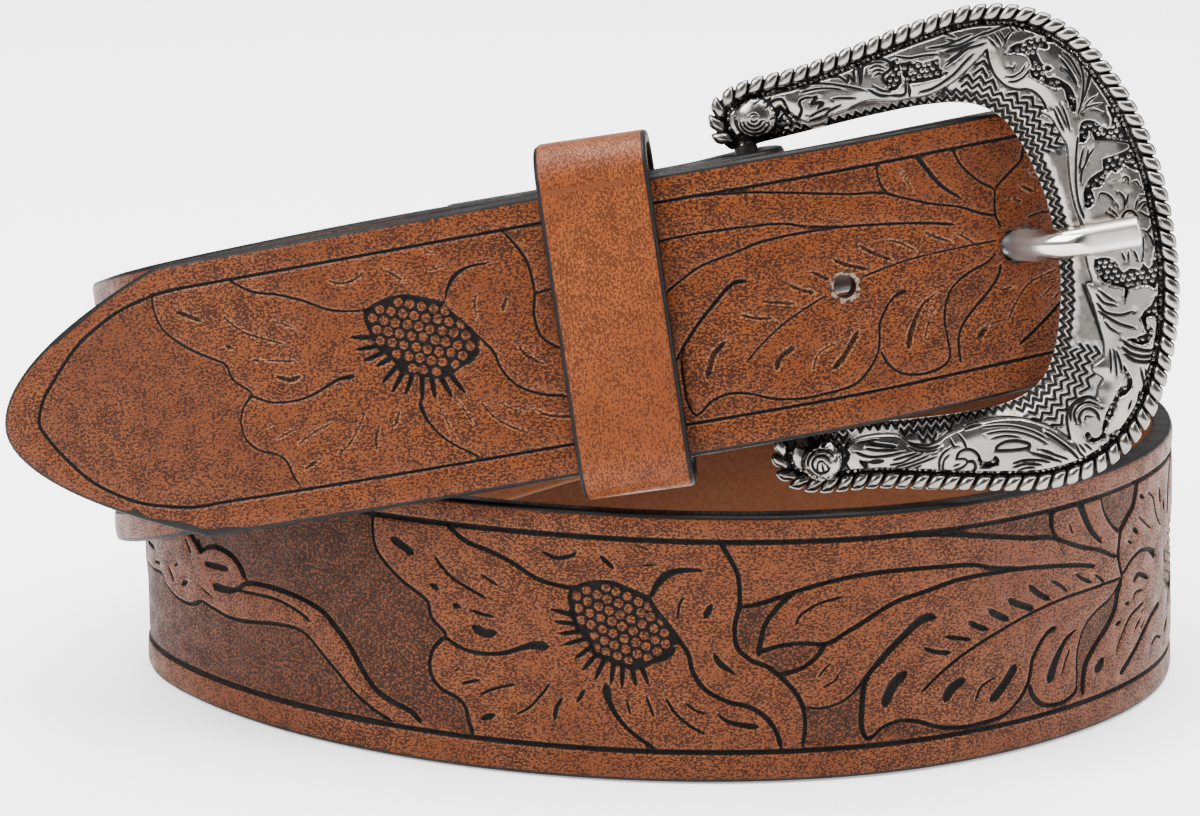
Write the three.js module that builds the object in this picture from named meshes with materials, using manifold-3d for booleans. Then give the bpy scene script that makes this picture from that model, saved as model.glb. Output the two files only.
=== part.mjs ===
// A tooled leather belt with a horseshoe western buckle, buckled and rolled into two turns.
// It stands on its lower edge. Millimetres, +Z up, the buckle faces -Y.
import * as THREE from "three";
import { mergeVertices } from "three/addons/utils/BufferGeometryUtils.js";
import Module from "manifold-3d";

const wasm = await Module();
wasm.setup();

// Driving dimensions of the strap
const WIDTH = 38;
const THICKNESS = 3;
const EDGE_ROUND = 0.5;
const GROOVE = { inset: 4.6, halfWidth: 0.6, depth: 0.5 };
// Below this width the grooves, and the rounding of the edges, shrink with the strap
const FULL_GROOVE_WIDTH = 12;
const RING_STEP = 8.5;
// Gap between pieces that touch, and how far a cut runs past the faces it goes through
const CLEARANCE = 0.3;
const OVERCUT = 2;

// The pointed end: it widens from a blunt point to the full width at the shoulder
const TIP = { at: 4.4, length: 28.5, power: 0.55 };
// Where its sections lie, from the point
const TIP_SECTIONS = [0.25, 1, 2.5, 5, 8, 12, 16, 20, 24.5, 28.5];

// Holes are counted from the pointed end; the prong sits in the second one
const HOLES = { first: 125.3, pitch: 22.1, count: 5, radius: 1.7, used: 1, facets: 12 };
const PRONG_SLOT = { before: 4.1, after: 8.5, halfWidth: 2.5, height: 20, facets: 6 };

// Route of the outer face's lower edge, from the pointed end to the buckle's bar.
// right, back: place on the plan; low: height of the edge; lean: outward lean of the face, degrees
const ROUTE = [
  // the pointed end and the front run under the keeper and through the buckle
  { right: -84.0, back: -26.6, low: 23.6, lean: -8.2 },
  { right: -60.0, back: -34.9, low: 30.2, lean: -8.0 },
  { right: -36.0, back: -41.1, low: 36.0, lean: -7.8 },
  { right: -12.0, back: -44.8, low: 41.3, lean: -7.6 },
  { right: 12.0, back: -46.1, low: 46.0, lean: -7.5 },
  { right: 36.0, back: -45.0, low: 50.1, lean: -7.4 },
  { right: 58.0, back: -38.3, low: 53.2, lean: -7.6 },
  // round the right side, inside the other turn, and down along the back
  { right: 72.0, back: -28.8, low: 53.6, lean: -8.2 },
  { right: 79.0, back: -12.0, low: 51.0, lean: -8.4 },
  { right: 79.0, back: 10.0, low: 45.0, lean: -7.5 },
  { right: 69.0, back: 30.0, low: 37.5, lean: -5.0 },
  { right: 49.5, back: 42.0, low: 30.0, lean: -2.0 },
  { right: 25.0, back: 47.0, low: 23.0, lean: 0.0 },
  { right: 0.0, back: 47.3, low: 16.0, lean: 1.0 },
  { right: -24.5, back: 44.0, low: 9.5, lean: 1.0 },
  { right: -47.0, back: 35.0, low: 4.2, lean: 0.5 },
  { right: -62.5, back: 20.5, low: 1.0, lean: 0.0 },
  // the lower front turn, standing on the floor
  { right: -68.4, back: 3.5, low: 0.0, lean: -0.5 },
  { right: -62.0, back: -12.0, low: 0.0, lean: -1.5 },
  { right: -46.5, back: -27.3, low: 0.0, lean: -3.5 },
  { right: -26.0, back: -39.0, low: 0.0, lean: -4.4 },
  { right: -3.0, back: -46.0, low: 0.0, lean: -3.2 },
  { right: 20.5, back: -47.6, low: 0.0, lean: -1.2 },
  { right: 44.0, back: -43.0, low: 0.0, lean: -0.5 },
  { right: 65.5, back: -31.0, low: 0.0, lean: -1.0 },
  { right: 81.0, back: -14.0, low: 0.0, lean: -2.0 },
  // the outer turn: right side and back on the floor, then rising to the left side
  { right: 86.4, back: 6.0, low: 0.0, lean: -2.0 },
  { right: 80.5, back: 27.0, low: 0.0, lean: -1.0 },
  { right: 64.5, back: 43.0, low: 0.0, lean: 0.0 },
  { right: 41.5, back: 51.0, low: 0.0, lean: 1.0 },
  { right: 16.5, back: 53.5, low: 1.0, lean: 2.0 },
  { right: -8.5, back: 52.5, low: 4.0, lean: 3.0 },
  { right: -33.0, back: 47.5, low: 8.5, lean: 3.8 },
  { right: -54.5, back: 36.5, low: 13.3, lean: 4.2 },
  { right: -67.5, back: 19.0, low: 16.5, lean: 4.0 },
  { right: -72.0, back: 0.0, low: 20.0, lean: 3.0 },
  { right: -65.5, back: -19.5, low: 25.6, lean: -1.0 },
  // behind the front run, up to the buckle's bar
  { right: -51.5, back: -31.2, low: 31.4, lean: -5.5 },
  { right: -30.5, back: -38.1, low: 37.2, lean: -7.3 },
  { right: -11.0, back: -40.6, low: 41.3, lean: -7.5 },
  { right: 12.0, back: -41.8, low: 45.5, lean: -7.5 },
  { right: 27.2, back: -41.2, low: 48.3, lean: -7.5 },
];
const ROUTE_STEPS = 24;

// The strap folds round the heel bar and lies back on itself
const BAR_RADIUS = 1.6;
const FOLD = { radius: 5.0, steps: 10, settle: 9.4, back: 42.3, step: 4.7 };
const FOLD_SLOT = { halfWidth: 2.8, before: 6.5, after: 8, front: 6.1, behind: 6.1 };

// Rivets hold the fold, one on each side of the keeper; distances are from the bar
const RIVETS = [{ from: 12.4 }, { from: 35 }];
const RIVET = { shank: 1.3, head: 2.6, headHeight: 0.5, facets: 12 };

// The keeper, a loose loop round the three layers
const KEEPER = { at: 94.4, middle: 20, width: 15, thickness: 2, height: 48, tilt: 1.9 };
const KEEPER_DEPTH = { front: 0.5, back: 12.4, bend: 5.6, facets: 7 };

// The buckle's own axes: along the strap, across it, and out towards the viewer
const BUCKLE = { yaw: 12.5, barAt: 6.5, back: -1.7 };
// Half of the frame, section by section from the arm's end to the middle of the front
const FRAME_SECTIONS = [
  { outAlong: 8.3, outAcross: 28.6, inAlong: 8.3, inAcross: 19.8 },
  { outAlong: 16.0, outAcross: 29.2, inAlong: 16.0, inAcross: 20.3 },
  { outAlong: 24.0, outAcross: 30.7, inAlong: 24.0, inAcross: 20.8 },
  { outAlong: 32.0, outAcross: 32.2, inAlong: 31.0, inAcross: 20.9 },
  { outAlong: 40.0, outAcross: 32.9, inAlong: 36.5, inAcross: 20.2 },
  { outAlong: 47.5, outAcross: 31.0, inAlong: 40.3, inAcross: 18.0 },
  { outAlong: 53.5, outAcross: 26.0, inAlong: 42.6, inAcross: 14.0 },
  { outAlong: 57.8, outAcross: 18.0, inAlong: 44.1, inAcross: 9.0 },
  { outAlong: 60.2, outAcross: 9.0, inAlong: 44.9, inAcross: 4.2 },
  { outAlong: 60.8, outAcross: 0.0, inAlong: 45.0, inAcross: 0.0 },
];
const FRAME_STEPS = 2;
// The frame's section, inwards from its outer edge: a rim, a recess and a crowned field
const RIM = { edge: 0.7, recessTo: 3.0, fieldFrom: 3.5, recess: 0.3, side: 0.6 };
// The bevel is the field's slope to the window, and the lip the height that it ends at
const FIELD = { height: 1.7, crown: 2.1, bevel: 2.8, lip: -0.6 };
const ARM_END = { along: 8.3, across: 23.4, radius: 5.0, facets: 20 };
const STUD = { radius: 3.0, top: 3.9, seat: 1.0, facets: 14 };
// The stud's dome, in shares of its radius and of its height over the seat
const STUD_DOME = [
  { out: 0, rise: 0 },
  { out: 1, rise: 0 },
  { out: 1, rise: 0.4 },
  { out: 0.78, rise: 0.72 },
  { out: 0.45, rise: 0.93 },
  { out: 0, rise: 1 },
];
// The strap passes between the arms: free width beside it, and the stretch that is kept clear
const PASSAGE = { side: 0.5, from: -5, to: 30, deep: 8 };
// How far the heel bar runs into each arm
const BAR_SEAT = 2;
const ROPE = { radius: 1.15, neck: 0.85, inset: 1.15, height: 0.9, pitch: 2.05, sides: 5 };
const ROPE_START = [
  { along: 5.4, across: 20.4 },
  { along: 3.9, across: 22.6 },
  { along: 4.4, across: 25.6 },
];
// Raised leaves on the field of one half, and the height that relief reaches
const LEAVES = [
  { along: 15.0, across: 24.8, turn: 6, length: 9, breadth: 3.0 },
  { along: 23.5, across: 25.9, turn: 9, length: 9, breadth: 3.6 },
  { along: 32.0, across: 26.8, turn: 8, length: 9, breadth: 4.6 },
  { along: 40.0, across: 26.8, turn: -14, length: 9, breadth: 5.6 },
  { along: 47.0, across: 23.2, turn: -48, length: 10, breadth: 6.0 },
  { along: 51.2, across: 14.2, turn: -72, length: 10, breadth: 6.0 },
];
const RELIEF_TOP = 2.6;
const LEAF = { steps: 6, pointed: 0.4 };
const FLOWER = { along: 53.4, across: 2.4, petals: 12, outer: 6.2, inner: 4.9 };
const FLOWER_EYE = { radius: 1.5, top: 2.9, facets: 12 };

// The prong: its centre line beside the frame, out is towards the viewer
const PRONG = { radius: 1.9, loop: 3.6, loopWidth: 4.4, loopFacets: 20, halfSides: 5, steps: 24 };
const PRONG_LINE = [
  { along: 9.4, out: -0.3 },
  { along: 18.0, out: -0.9 },
  { along: 25.0, out: -2.2 },
  { along: 30.0, out: -3.5 },
  { along: 34.0, out: -4.2 },
  { along: 37.5, out: -3.4 },
  { along: 41.5, out: 0.2 },
  { along: 45.5, out: 4.2 },
  { along: 49.5, out: 4.95 },
  { along: 55.8, out: 4.95 },
];

const UP = new THREE.Vector3(0, 0, 1);
const radians = THREE.MathUtils.degToRad;

// A closed mesh as a solid, and a solid as a mesh's geometry
function toSolid(geometry) {
  const bare = geometry.clone();
  bare.deleteAttribute("normal");
  bare.deleteAttribute("uv");
  const merged = mergeVertices(bare, 1e-4);
  return new wasm.Manifold(
    new wasm.Mesh({
      numProp: 3,
      vertProperties: merged.attributes.position.array,
      triVerts: new Uint32Array(merged.index.array),
    }),
  );
}

function toGeometry(solid) {
  const mesh = solid.getMesh();
  const geometry = new THREE.BufferGeometry();
  geometry.setAttribute("position", new THREE.BufferAttribute(mesh.vertProperties, 3));
  geometry.setIndex(new THREE.BufferAttribute(mesh.triVerts, 1));
  geometry.computeVertexNormals();
  return geometry;
}

// A skin through rings of equal point count, with flat ends
function skin(rings) {
  const count = rings[0].length;
  const positions = rings.flat().flatMap((point) => [point.x, point.y, point.z]);
  const faces = [];
  for (let i = 0; i < rings.length - 1; i++) {
    for (let k = 0; k < count; k++) {
      const a = i * count + k;
      const b = i * count + ((k + 1) % count);
      faces.push(a, b, b + count, a, b + count, a + count);
    }
  }
  for (const end of [0, rings.length - 1]) {
    const middle = positions.length / 3;
    const centre = rings[end].reduce((sum, point) => sum.add(point), new THREE.Vector3());
    centre.divideScalar(count);
    positions.push(centre.x, centre.y, centre.z);
    for (let k = 0; k < count; k++) {
      const a = end * count + k;
      const b = end * count + ((k + 1) % count);
      faces.push(...(end ? [middle, a, b] : [middle, b, a]));
    }
  }
  const geometry = new THREE.BufferGeometry();
  geometry.setAttribute("position", new THREE.Float32BufferAttribute(positions, 3));
  geometry.setIndex(faces);
  return geometry;
}

// The skin as a solid that faces out, whichever way round its rings run
function skinSolid(rings) {
  const solid = toSolid(skin(rings));
  return solid.volume() > 0 ? solid : toSolid(skin([...rings].reverse()));
}

// A smooth route through the rows: a cubic B-spline whose control points are drawn out
// from the rows until it passes through them
function smoothRoute(rows) {
  const keys = Object.keys(rows[0]);
  const wanted = rows.map((row) => keys.map((key) => row[key]));
  let control = wanted.map((row) => [...row]);
  for (let pass = 0; pass < 3; pass++) {
    control = wanted.map((row, i) => {
      if (i === 0 || i === wanted.length - 1) return [...row];
      return row.map(
        (value, k) =>
          value - (control[i + 1][k] - 2 * control[i][k] + control[i - 1][k]) / 6,
      );
    });
  }
  const mirrorEnd = (end, beside) => end.map((value, k) => 2 * value - beside[k]);
  control.unshift(mirrorEnd(control[0], control[1]));
  control.push(mirrorEnd(control.at(-1), control.at(-2)));
  const samples = [];
  const spans = wanted.length - 1;
  for (let step = 0; step <= spans * ROUTE_STEPS; step++) {
    const span = Math.min(Math.floor(step / ROUTE_STEPS), spans - 1);
    const t = step / ROUTE_STEPS - span;
    const weights = [
      (1 - t) ** 3 / 6,
      (3 * t ** 3 - 6 * t ** 2 + 4) / 6,
      (-3 * t ** 3 + 3 * t ** 2 + 3 * t + 1) / 6,
      t ** 3 / 6,
    ];
    samples.push(
      keys.map((key, k) =>
        weights.reduce((sum, weight, j) => sum + weight * control[span + j][k], 0),
      ),
    );
  }
  return samples.map(([x, y, z, lean]) => ({
    point: new THREE.Vector3(x, y, Math.max(z, 0)),
    lean: radians(lean),
  }));
}

const route = smoothRoute(ROUTE);
const lengths = [0];
for (let i = 1; i < route.length; i++) {
  lengths.push(lengths[i - 1] + route[i].point.distanceTo(route[i - 1].point));
}
const ROUTE_LENGTH = lengths.at(-1);
route.forEach((sample, i) => {
  const before = route[Math.max(i - 1, 0)].point;
  const after = route[Math.min(i + 1, route.length - 1)].point;
  sample.tangent = after.clone().sub(before).normalize();
});

// Place on the route at a length: point, tangent, across (up the strap's width), out (its face)
function routeAt(length) {
  const clamped = THREE.MathUtils.clamp(length, 0, ROUTE_LENGTH);
  let i = lengths.findIndex((value) => value >= clamped);
  i = Math.max(i, 1);
  const share = (clamped - lengths[i - 1]) / (lengths[i] - lengths[i - 1]);
  const point = route[i - 1].point.clone().lerp(route[i].point, share);
  const tangent = route[i - 1].tangent.clone().lerp(route[i].tangent, share).normalize();
  const lean = THREE.MathUtils.lerp(route[i - 1].lean, route[i].lean, share);
  const level = tangent.clone().cross(UP).normalize();
  const rise = level.clone().cross(tangent);
  const across = rise.clone().multiplyScalar(Math.cos(lean));
  across.addScaledVector(level, Math.sin(lean));
  const out = level.clone().multiplyScalar(Math.cos(lean));
  out.addScaledVector(rise, -Math.sin(lean));
  return { point, tangent, across, out };
}

// A point of the strap: length along it, height up its width, depth below its face
function onStrap(place, height, depth) {
  return place.point.clone().addScaledVector(place.across, height).addScaledVector(place.out, -depth);
}

// The places of the fold: round the bar's axis, then back along the strap's inner side
const barPlace = routeAt(ROUTE_LENGTH);
const barFoot = onStrap(barPlace, 0, FOLD.radius);

function foldPlaces() {
  const places = [];
  for (let i = 1; i < FOLD.steps; i++) {
    const angle = (Math.PI * i) / FOLD.steps;
    const out = barPlace.out.clone().multiplyScalar(Math.cos(angle));
    out.addScaledVector(barPlace.tangent, Math.sin(angle));
    const point = barFoot.clone().addScaledVector(out, FOLD.radius);
    places.push({ point, across: barPlace.across, out });
  }
  const lying = 2 * THICKNESS + CLEARANCE;
  for (let from = 0; from <= FOLD.back; from += FOLD.step) {
    const front = routeAt(ROUTE_LENGTH - from);
    const gap = THREE.MathUtils.smoothstep(from, 0, FOLD.settle);
    const depth = THREE.MathUtils.lerp(2 * FOLD.radius, lying, gap);
    const point = onStrap(front, 0, depth);
    places.push({ point, across: front.across, out: front.out.clone().negate() });
  }
  return places;
}

// The strap's section between two heights, with a bordering groove near each edge
function strapRing(place, low, high) {
  const squeeze = Math.min(1, (high - low) / FULL_GROOVE_WIDTH);
  const inset = GROOVE.inset * squeeze;
  const half = GROOVE.halfWidth * squeeze;
  const depth = GROOVE.depth * squeeze;
  const round = EDGE_ROUND * squeeze;
  const back = THICKNESS;
  return [
    [low + round, 0],
    [low + inset - half, 0],
    [low + inset, depth],
    [low + inset + half, 0],
    [high - inset - half, 0],
    [high - inset, depth],
    [high - inset + half, 0],
    [high - round, 0],
    [high, round],
    [high, back - round],
    [high - round, back],
    [low + round, back],
    [low, back - round],
    [low, round],
  ].map(([height, deep]) => onStrap(place, height, deep));
}

// A straight round tool through a strap place, along its face's direction
function faceTool(place, height, radius, from, to, facets) {
  const tool = new THREE.CylinderGeometry(radius, radius, to - from, facets);
  const middle = onStrap(place, height, (from + to) / 2);
  const turn = new THREE.Quaternion().setFromUnitVectors(new THREE.Vector3(0, 1, 0), place.out);
  tool.applyQuaternion(turn).translate(middle.x, middle.y, middle.z);
  return toSolid(tool);
}

// A box in given axes, between two corners
function boxIn(matrix, low, high) {
  const box = new THREE.BoxGeometry(high[0] - low[0], high[1] - low[1], high[2] - low[2]);
  box.translate((high[0] + low[0]) / 2, (high[1] + low[1]) / 2, (high[2] + low[2]) / 2);
  return toSolid(box.applyMatrix4(matrix));
}

// The strap: pointed end, two turns, fold round the bar, holes and the prong's slot
function makeStrap() {
  const middle = WIDTH / 2;
  const rings = TIP_SECTIONS.map((from) => {
    const half = middle * Math.min(1, (from / TIP.length) ** TIP.power);
    return strapRing(routeAt(TIP.at + from), middle - half, middle + half);
  });
  const shoulder = TIP.at + TIP.length;
  const steps = Math.round((ROUTE_LENGTH - shoulder) / RING_STEP);
  for (let i = 1; i <= steps; i++) {
    const place = routeAt(shoulder + ((ROUTE_LENGTH - shoulder) * i) / steps);
    rings.push(strapRing(place, 0, WIDTH));
  }
  for (const place of foldPlaces()) rings.push(strapRing(place, 0, WIDTH));
  let strap = skinSolid(rings);
  for (let i = 0; i < HOLES.count; i++) {
    const at = HOLES.first + i * HOLES.pitch;
    if (i === HOLES.used) {
      strap = strap.subtract(prongSlot(at));
    } else {
      const { radius, facets } = HOLES;
      const punch = faceTool(routeAt(at), middle, radius, -OVERCUT, THICKNESS + OVERCUT, facets);
      strap = strap.subtract(punch);
    }
  }
  const slotLow = [BUCKLE.barAt - FOLD_SLOT.before, -FOLD_SLOT.halfWidth, -FOLD_SLOT.behind];
  const slotHigh = [BUCKLE.barAt + FOLD_SLOT.after, FOLD_SLOT.halfWidth, FOLD_SLOT.front];
  strap = strap.subtract(boxIn(buckleMatrix, slotLow, slotHigh));
  for (const { from } of RIVETS) {
    const place = routeAt(ROUTE_LENGTH - from);
    const bore = RIVET.shank + CLEARANCE;
    const end = 2 * FOLD.radius + OVERCUT;
    strap = strap.subtract(faceTool(place, middle, bore, -CLEARANCE, end, RIVET.facets));
  }
  return toGeometry(strap);
}

// The worn hole that the prong stands in: an oval slot, longer towards the buckle
function prongSlot(at) {
  const place = routeAt(at);
  const outline = new THREE.Shape();
  const { before, after, halfWidth } = PRONG_SLOT;
  outline.absarc(halfWidth - before, 0, halfWidth, Math.PI / 2, (3 * Math.PI) / 2);
  outline.absarc(after - halfWidth, 0, halfWidth, -Math.PI / 2, Math.PI / 2);
  const slot = new THREE.ExtrudeGeometry(outline, {
    depth: THICKNESS + 2 * OVERCUT,
    bevelEnabled: false,
    curveSegments: PRONG_SLOT.facets,
  });
  slot.translate(0, 0, -THICKNESS - OVERCUT);
  const axes = new THREE.Matrix4().makeBasis(place.tangent, place.across, place.out);
  axes.setPosition(onStrap(place, PRONG_SLOT.height, 0));
  return toSolid(slot.applyMatrix4(axes));
}

// The buckle's axes, with the bar at its own distance along
function makeBuckleMatrix() {
  const yaw = radians(BUCKLE.yaw);
  const along = barPlace.tangent.clone().multiplyScalar(Math.cos(yaw));
  along.addScaledVector(barPlace.out, Math.sin(yaw));
  const out = along.clone().cross(barPlace.across).normalize();
  const origin = barFoot.clone().addScaledVector(barPlace.across, WIDTH / 2);
  origin.addScaledVector(along, -BUCKLE.barAt);
  return new THREE.Matrix4().makeBasis(along, barPlace.across, out).setPosition(origin);
}
const buckleMatrix = makeBuckleMatrix();

// All the frame's sections, arm end to arm end, smoothed between the rows
function frameSections() {
  const lower = FRAME_SECTIONS.slice(0, -1).reverse();
  const rows = [...FRAME_SECTIONS, ...lower.map((row) => ({
    ...row,
    outAcross: -row.outAcross,
    inAcross: -row.inAcross,
  }))];
  const smooth = (alongKey, acrossKey) =>
    new THREE.CatmullRomCurve3(
      rows.map((row) => new THREE.Vector3(row[alongKey], row[acrossKey], 0)),
      false,
      "catmullrom",
    );
  const outer = smooth("outAlong", "outAcross");
  const inner = smooth("inAlong", "inAcross");
  const count = (rows.length - 1) * FRAME_STEPS;
  return Array.from({ length: count + 1 }, (_, i) => ({
    outer: outer.getPoint(i / count),
    inner: inner.getPoint(i / count),
  }));
}

// One ring of the frame: rim seat, recess, crowned field and the bevel to the window
function frameRing({ outer, inner }) {
  const breadth = outer.distanceTo(inner);
  const profile = [
    [RIM.edge, BUCKLE.back],
    [RIM.edge, RIM.side],
    [RIM.recessTo, RIM.recess],
    [RIM.fieldFrom, FIELD.height],
    [(RIM.fieldFrom + breadth - FIELD.bevel) / 2, FIELD.crown],
    [breadth - FIELD.bevel, FIELD.height],
    [breadth, FIELD.lip],
    [breadth, BUCKLE.back],
  ];
  return profile.map(([from, height]) => {
    const point = outer.clone().lerp(inner, from / breadth);
    return point.setZ(height);
  });
}

// The roped border: a thick cord with a neck between each two strands
function makeRope() {
  const rows = ROPE_START.map(({ along, across }) => new THREE.Vector3(along, across, 0));
  for (const { outer, inner } of frameSections()) {
    const inset = ROPE.inset / outer.distanceTo(inner);
    rows.push(outer.clone().lerp(inner, inset));
  }
  for (const { along, across } of [...ROPE_START].reverse()) {
    rows.push(new THREE.Vector3(along, -across, 0));
  }
  const line = new THREE.CatmullRomCurve3(rows);
  line.arcLengthDivisions = 600;
  const strands = Math.round(line.getLength() / ROPE.pitch);
  const rings = [];
  for (let i = 0; i <= 2 * strands; i++) {
    const centre = line.getPointAt(i / (2 * strands)).setZ(ROPE.height);
    const heading = line.getTangentAt(i / (2 * strands));
    const side = new THREE.Vector3(heading.y, -heading.x, 0).normalize();
    const radius = i % 2 ? ROPE.radius : ROPE.neck;
    const ring = [];
    for (let k = 0; k < ROPE.sides; k++) {
      const angle = (2 * Math.PI * k) / ROPE.sides;
      const point = centre.clone().addScaledVector(side, radius * Math.cos(angle));
      ring.push(point.addScaledVector(UP, radius * Math.sin(angle)));
    }
    rings.push(ring);
  }
  return skinSolid(rings);
}

// A flat raised figure on the buckle's face
function relief(shape, top) {
  const figure = new THREE.ExtrudeGeometry(shape, {
    depth: top - FIELD.lip,
    bevelEnabled: false,
    curveSegments: LEAF.steps,
  });
  return toSolid(figure.translate(0, 0, FIELD.lip));
}

function leafShape({ along, across, turn, length, breadth }, side) {
  const heading = side * radians(turn);
  const points = [];
  for (let i = 0; i < 2 * LEAF.steps; i++) {
    const angle = (Math.PI * i) / LEAF.steps;
    const x = (length / 2) * Math.cos(angle);
    const y = (breadth / 2) * Math.sin(angle) * Math.abs(Math.sin(angle)) ** LEAF.pointed;
    points.push(
      new THREE.Vector2(
        along + x * Math.cos(heading) - y * Math.sin(heading),
        side * across + x * Math.sin(heading) + y * Math.cos(heading),
      ),
    );
  }
  return new THREE.Shape(points);
}

function flowerShape() {
  const points = [];
  for (let i = 0; i < 2 * FLOWER.petals; i++) {
    const angle = (Math.PI * i) / FLOWER.petals;
    const radius = i % 2 ? FLOWER.inner : FLOWER.outer;
    const point = new THREE.Vector2(radius * Math.cos(angle), radius * Math.sin(angle));
    points.push(point.add(new THREE.Vector2(FLOWER.along, FLOWER.across)));
  }
  return new THREE.Shape(points);
}

// A round boss on the buckle's face, standing along its out axis
function boss(along, across, radius, from, to, facets) {
  const disc = new THREE.CylinderGeometry(radius, radius, to - from, facets);
  return toSolid(disc.rotateX(Math.PI / 2).translate(along, across, (from + to) / 2));
}

function stud(across) {
  const height = STUD.top - STUD.seat;
  const points = STUD_DOME.map(
    ({ out, rise }) => new THREE.Vector2(out * STUD.radius, rise * height),
  );
  const dome = new THREE.LatheGeometry(points, STUD.facets);
  return toSolid(dome.rotateX(Math.PI / 2).translate(ARM_END.along, across, STUD.seat));
}

// The buckle frame: horseshoe, heel bar, roped border and raised figures, cast as one
function makeFrame() {
  let frame = skinSolid(frameSections().map(frameRing));
  for (const side of [1, -1]) {
    const { along, across, radius, facets } = ARM_END;
    frame = frame.add(boss(along, side * across, radius, BUCKLE.back, STUD.seat, facets));
    frame = frame.add(stud(side * across));
    for (const leaf of LEAVES) frame = frame.add(relief(leafShape(leaf, side), RELIEF_TOP));
  }
  frame = frame.add(relief(flowerShape(), RELIEF_TOP));
  const { radius, top, facets } = FLOWER_EYE;
  frame = frame.add(boss(FLOWER.along, FLOWER.across, radius, 0, top, facets));
  frame = frame.add(makeRope());
  const half = WIDTH / 2 + PASSAGE.side;
  const { from, to, deep } = PASSAGE;
  frame = frame.subtract(boxIn(new THREE.Matrix4(), [from, -half, -deep], [to, half, deep]));
  const bar = new THREE.CylinderGeometry(BAR_RADIUS, BAR_RADIUS, 2 * (half + BAR_SEAT), 12);
  frame = frame.add(toSolid(bar.translate(BUCKLE.barAt, 0, 0)));
  return toGeometry(frame);
}

// The prong's rod along its centre line
function prongRod() {
  const line = new THREE.CatmullRomCurve3(
    PRONG_LINE.map(({ along, out }) => new THREE.Vector3(along, 0, out)),
  );
  const round = new THREE.Shape();
  round.absarc(0, 0, PRONG.radius, 0, 2 * Math.PI);
  return new THREE.ExtrudeGeometry(round, {
    extrudePath: line,
    steps: PRONG.steps,
    curveSegments: PRONG.halfSides,
  });
}

// The prong: a bent rod with a loop that turns on the heel bar
function makeProng() {
  const { loop, loopWidth, loopFacets } = PRONG;
  const half = loopWidth / 2;
  const ring = new THREE.CylinderGeometry(loop, loop, loopWidth, loopFacets);
  const eye = BAR_RADIUS + CLEARANCE;
  const bore = new THREE.CylinderGeometry(eye, eye, loopWidth + OVERCUT, loopFacets);
  let prong = toSolid(prongRod()).add(toSolid(ring.translate(BUCKLE.barAt, 0, 0)));
  const reach = 2 * PRONG_LINE.at(-1).along;
  const sides = boxIn(new THREE.Matrix4(), [-reach, -half, -reach], [reach, half, reach]);
  prong = prong.intersect(sides);
  return toGeometry(prong.subtract(toSolid(bore.translate(BUCKLE.barAt, 0, 0))));
}

// The keeper: a rounded loop of leather
function makeKeeper() {
  const { width, thickness, height } = KEEPER;
  const { front, back, bend, facets } = KEEPER_DEPTH;
  const loop = (grow) => {
    const [low, high] = [-back - grow, front + grow];
    const [bottom, top] = [-height / 2 + thickness - grow, height / 2 - thickness + grow];
    const corner = bend - thickness + grow;
    const outline = new THREE.Shape();
    outline.absarc(high - corner, top - corner, corner, 0, Math.PI / 2);
    outline.absarc(low + corner, top - corner, corner, Math.PI / 2, Math.PI);
    outline.absarc(low + corner, bottom + corner, corner, Math.PI, 1.5 * Math.PI);
    outline.absarc(high - corner, bottom + corner, corner, -0.5 * Math.PI, 0);
    return outline;
  };
  const outline = loop(thickness);
  outline.holes.push(loop(0));
  const band = new THREE.ExtrudeGeometry(outline, {
    depth: width,
    bevelEnabled: false,
    curveSegments: facets,
  });
  band.translate(0, 0, -width / 2);
  const place = routeAt(KEEPER.at);
  const tilt = new THREE.Quaternion().setFromAxisAngle(place.out, -radians(KEEPER.tilt));
  const across = place.across.clone().applyQuaternion(tilt);
  const along = across.clone().cross(place.out);
  const axes = new THREE.Matrix4().makeBasis(place.out, across, along.negate());
  axes.setPosition(onStrap(place, KEEPER.middle, 0));
  return toGeometry(toSolid(band.applyMatrix4(axes)));
}

// A rivet through the strap and its folded end, with a flat head on each side
function makeRivet({ from }) {
  const place = routeAt(ROUTE_LENGTH - from);
  const settled = THREE.MathUtils.smoothstep(from, 0, FOLD.settle);
  const lying = 2 * THICKNESS + CLEARANCE;
  const far = THREE.MathUtils.lerp(2 * FOLD.radius, lying, settled);
  const { shank, head, headHeight, facets } = RIVET;
  const middle = WIDTH / 2;
  const seat = CLEARANCE + 0.1;
  const frontHead = faceTool(place, middle, head, -seat - headHeight, -seat, facets);
  const backHead = faceTool(place, middle, head, far + seat, far + seat + headHeight, facets);
  const rod = faceTool(place, middle, shank, -seat - headHeight, far + seat + headHeight, facets);
  return toGeometry(rod.add(frontHead).add(backHead));
}

// Finishes
const finishes = {
  leather: new THREE.MeshStandardMaterial({ color: 0x9a5a34, roughness: 0.55, metalness: 0 }),
  keeperLeather: new THREE.MeshStandardMaterial({ color: 0xa5623a, roughness: 0.5, metalness: 0 }),
  antiqueSilver: new THREE.MeshStandardMaterial({ color: 0xb9b4aa, roughness: 0.3, metalness: 1 }),
  polishedNickel: new THREE.MeshStandardMaterial({ color: 0xd6d2c8, roughness: 0.12, metalness: 1 }),
  rivetSteel: new THREE.MeshStandardMaterial({ color: 0x8c8a86, roughness: 0.35, metalness: 1 }),
};

function named(name, geometry, finish, matrix) {
  const mesh = new THREE.Mesh(geometry, finish);
  mesh.name = name;
  if (matrix) mesh.applyMatrix4(matrix);
  return mesh;
}

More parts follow.
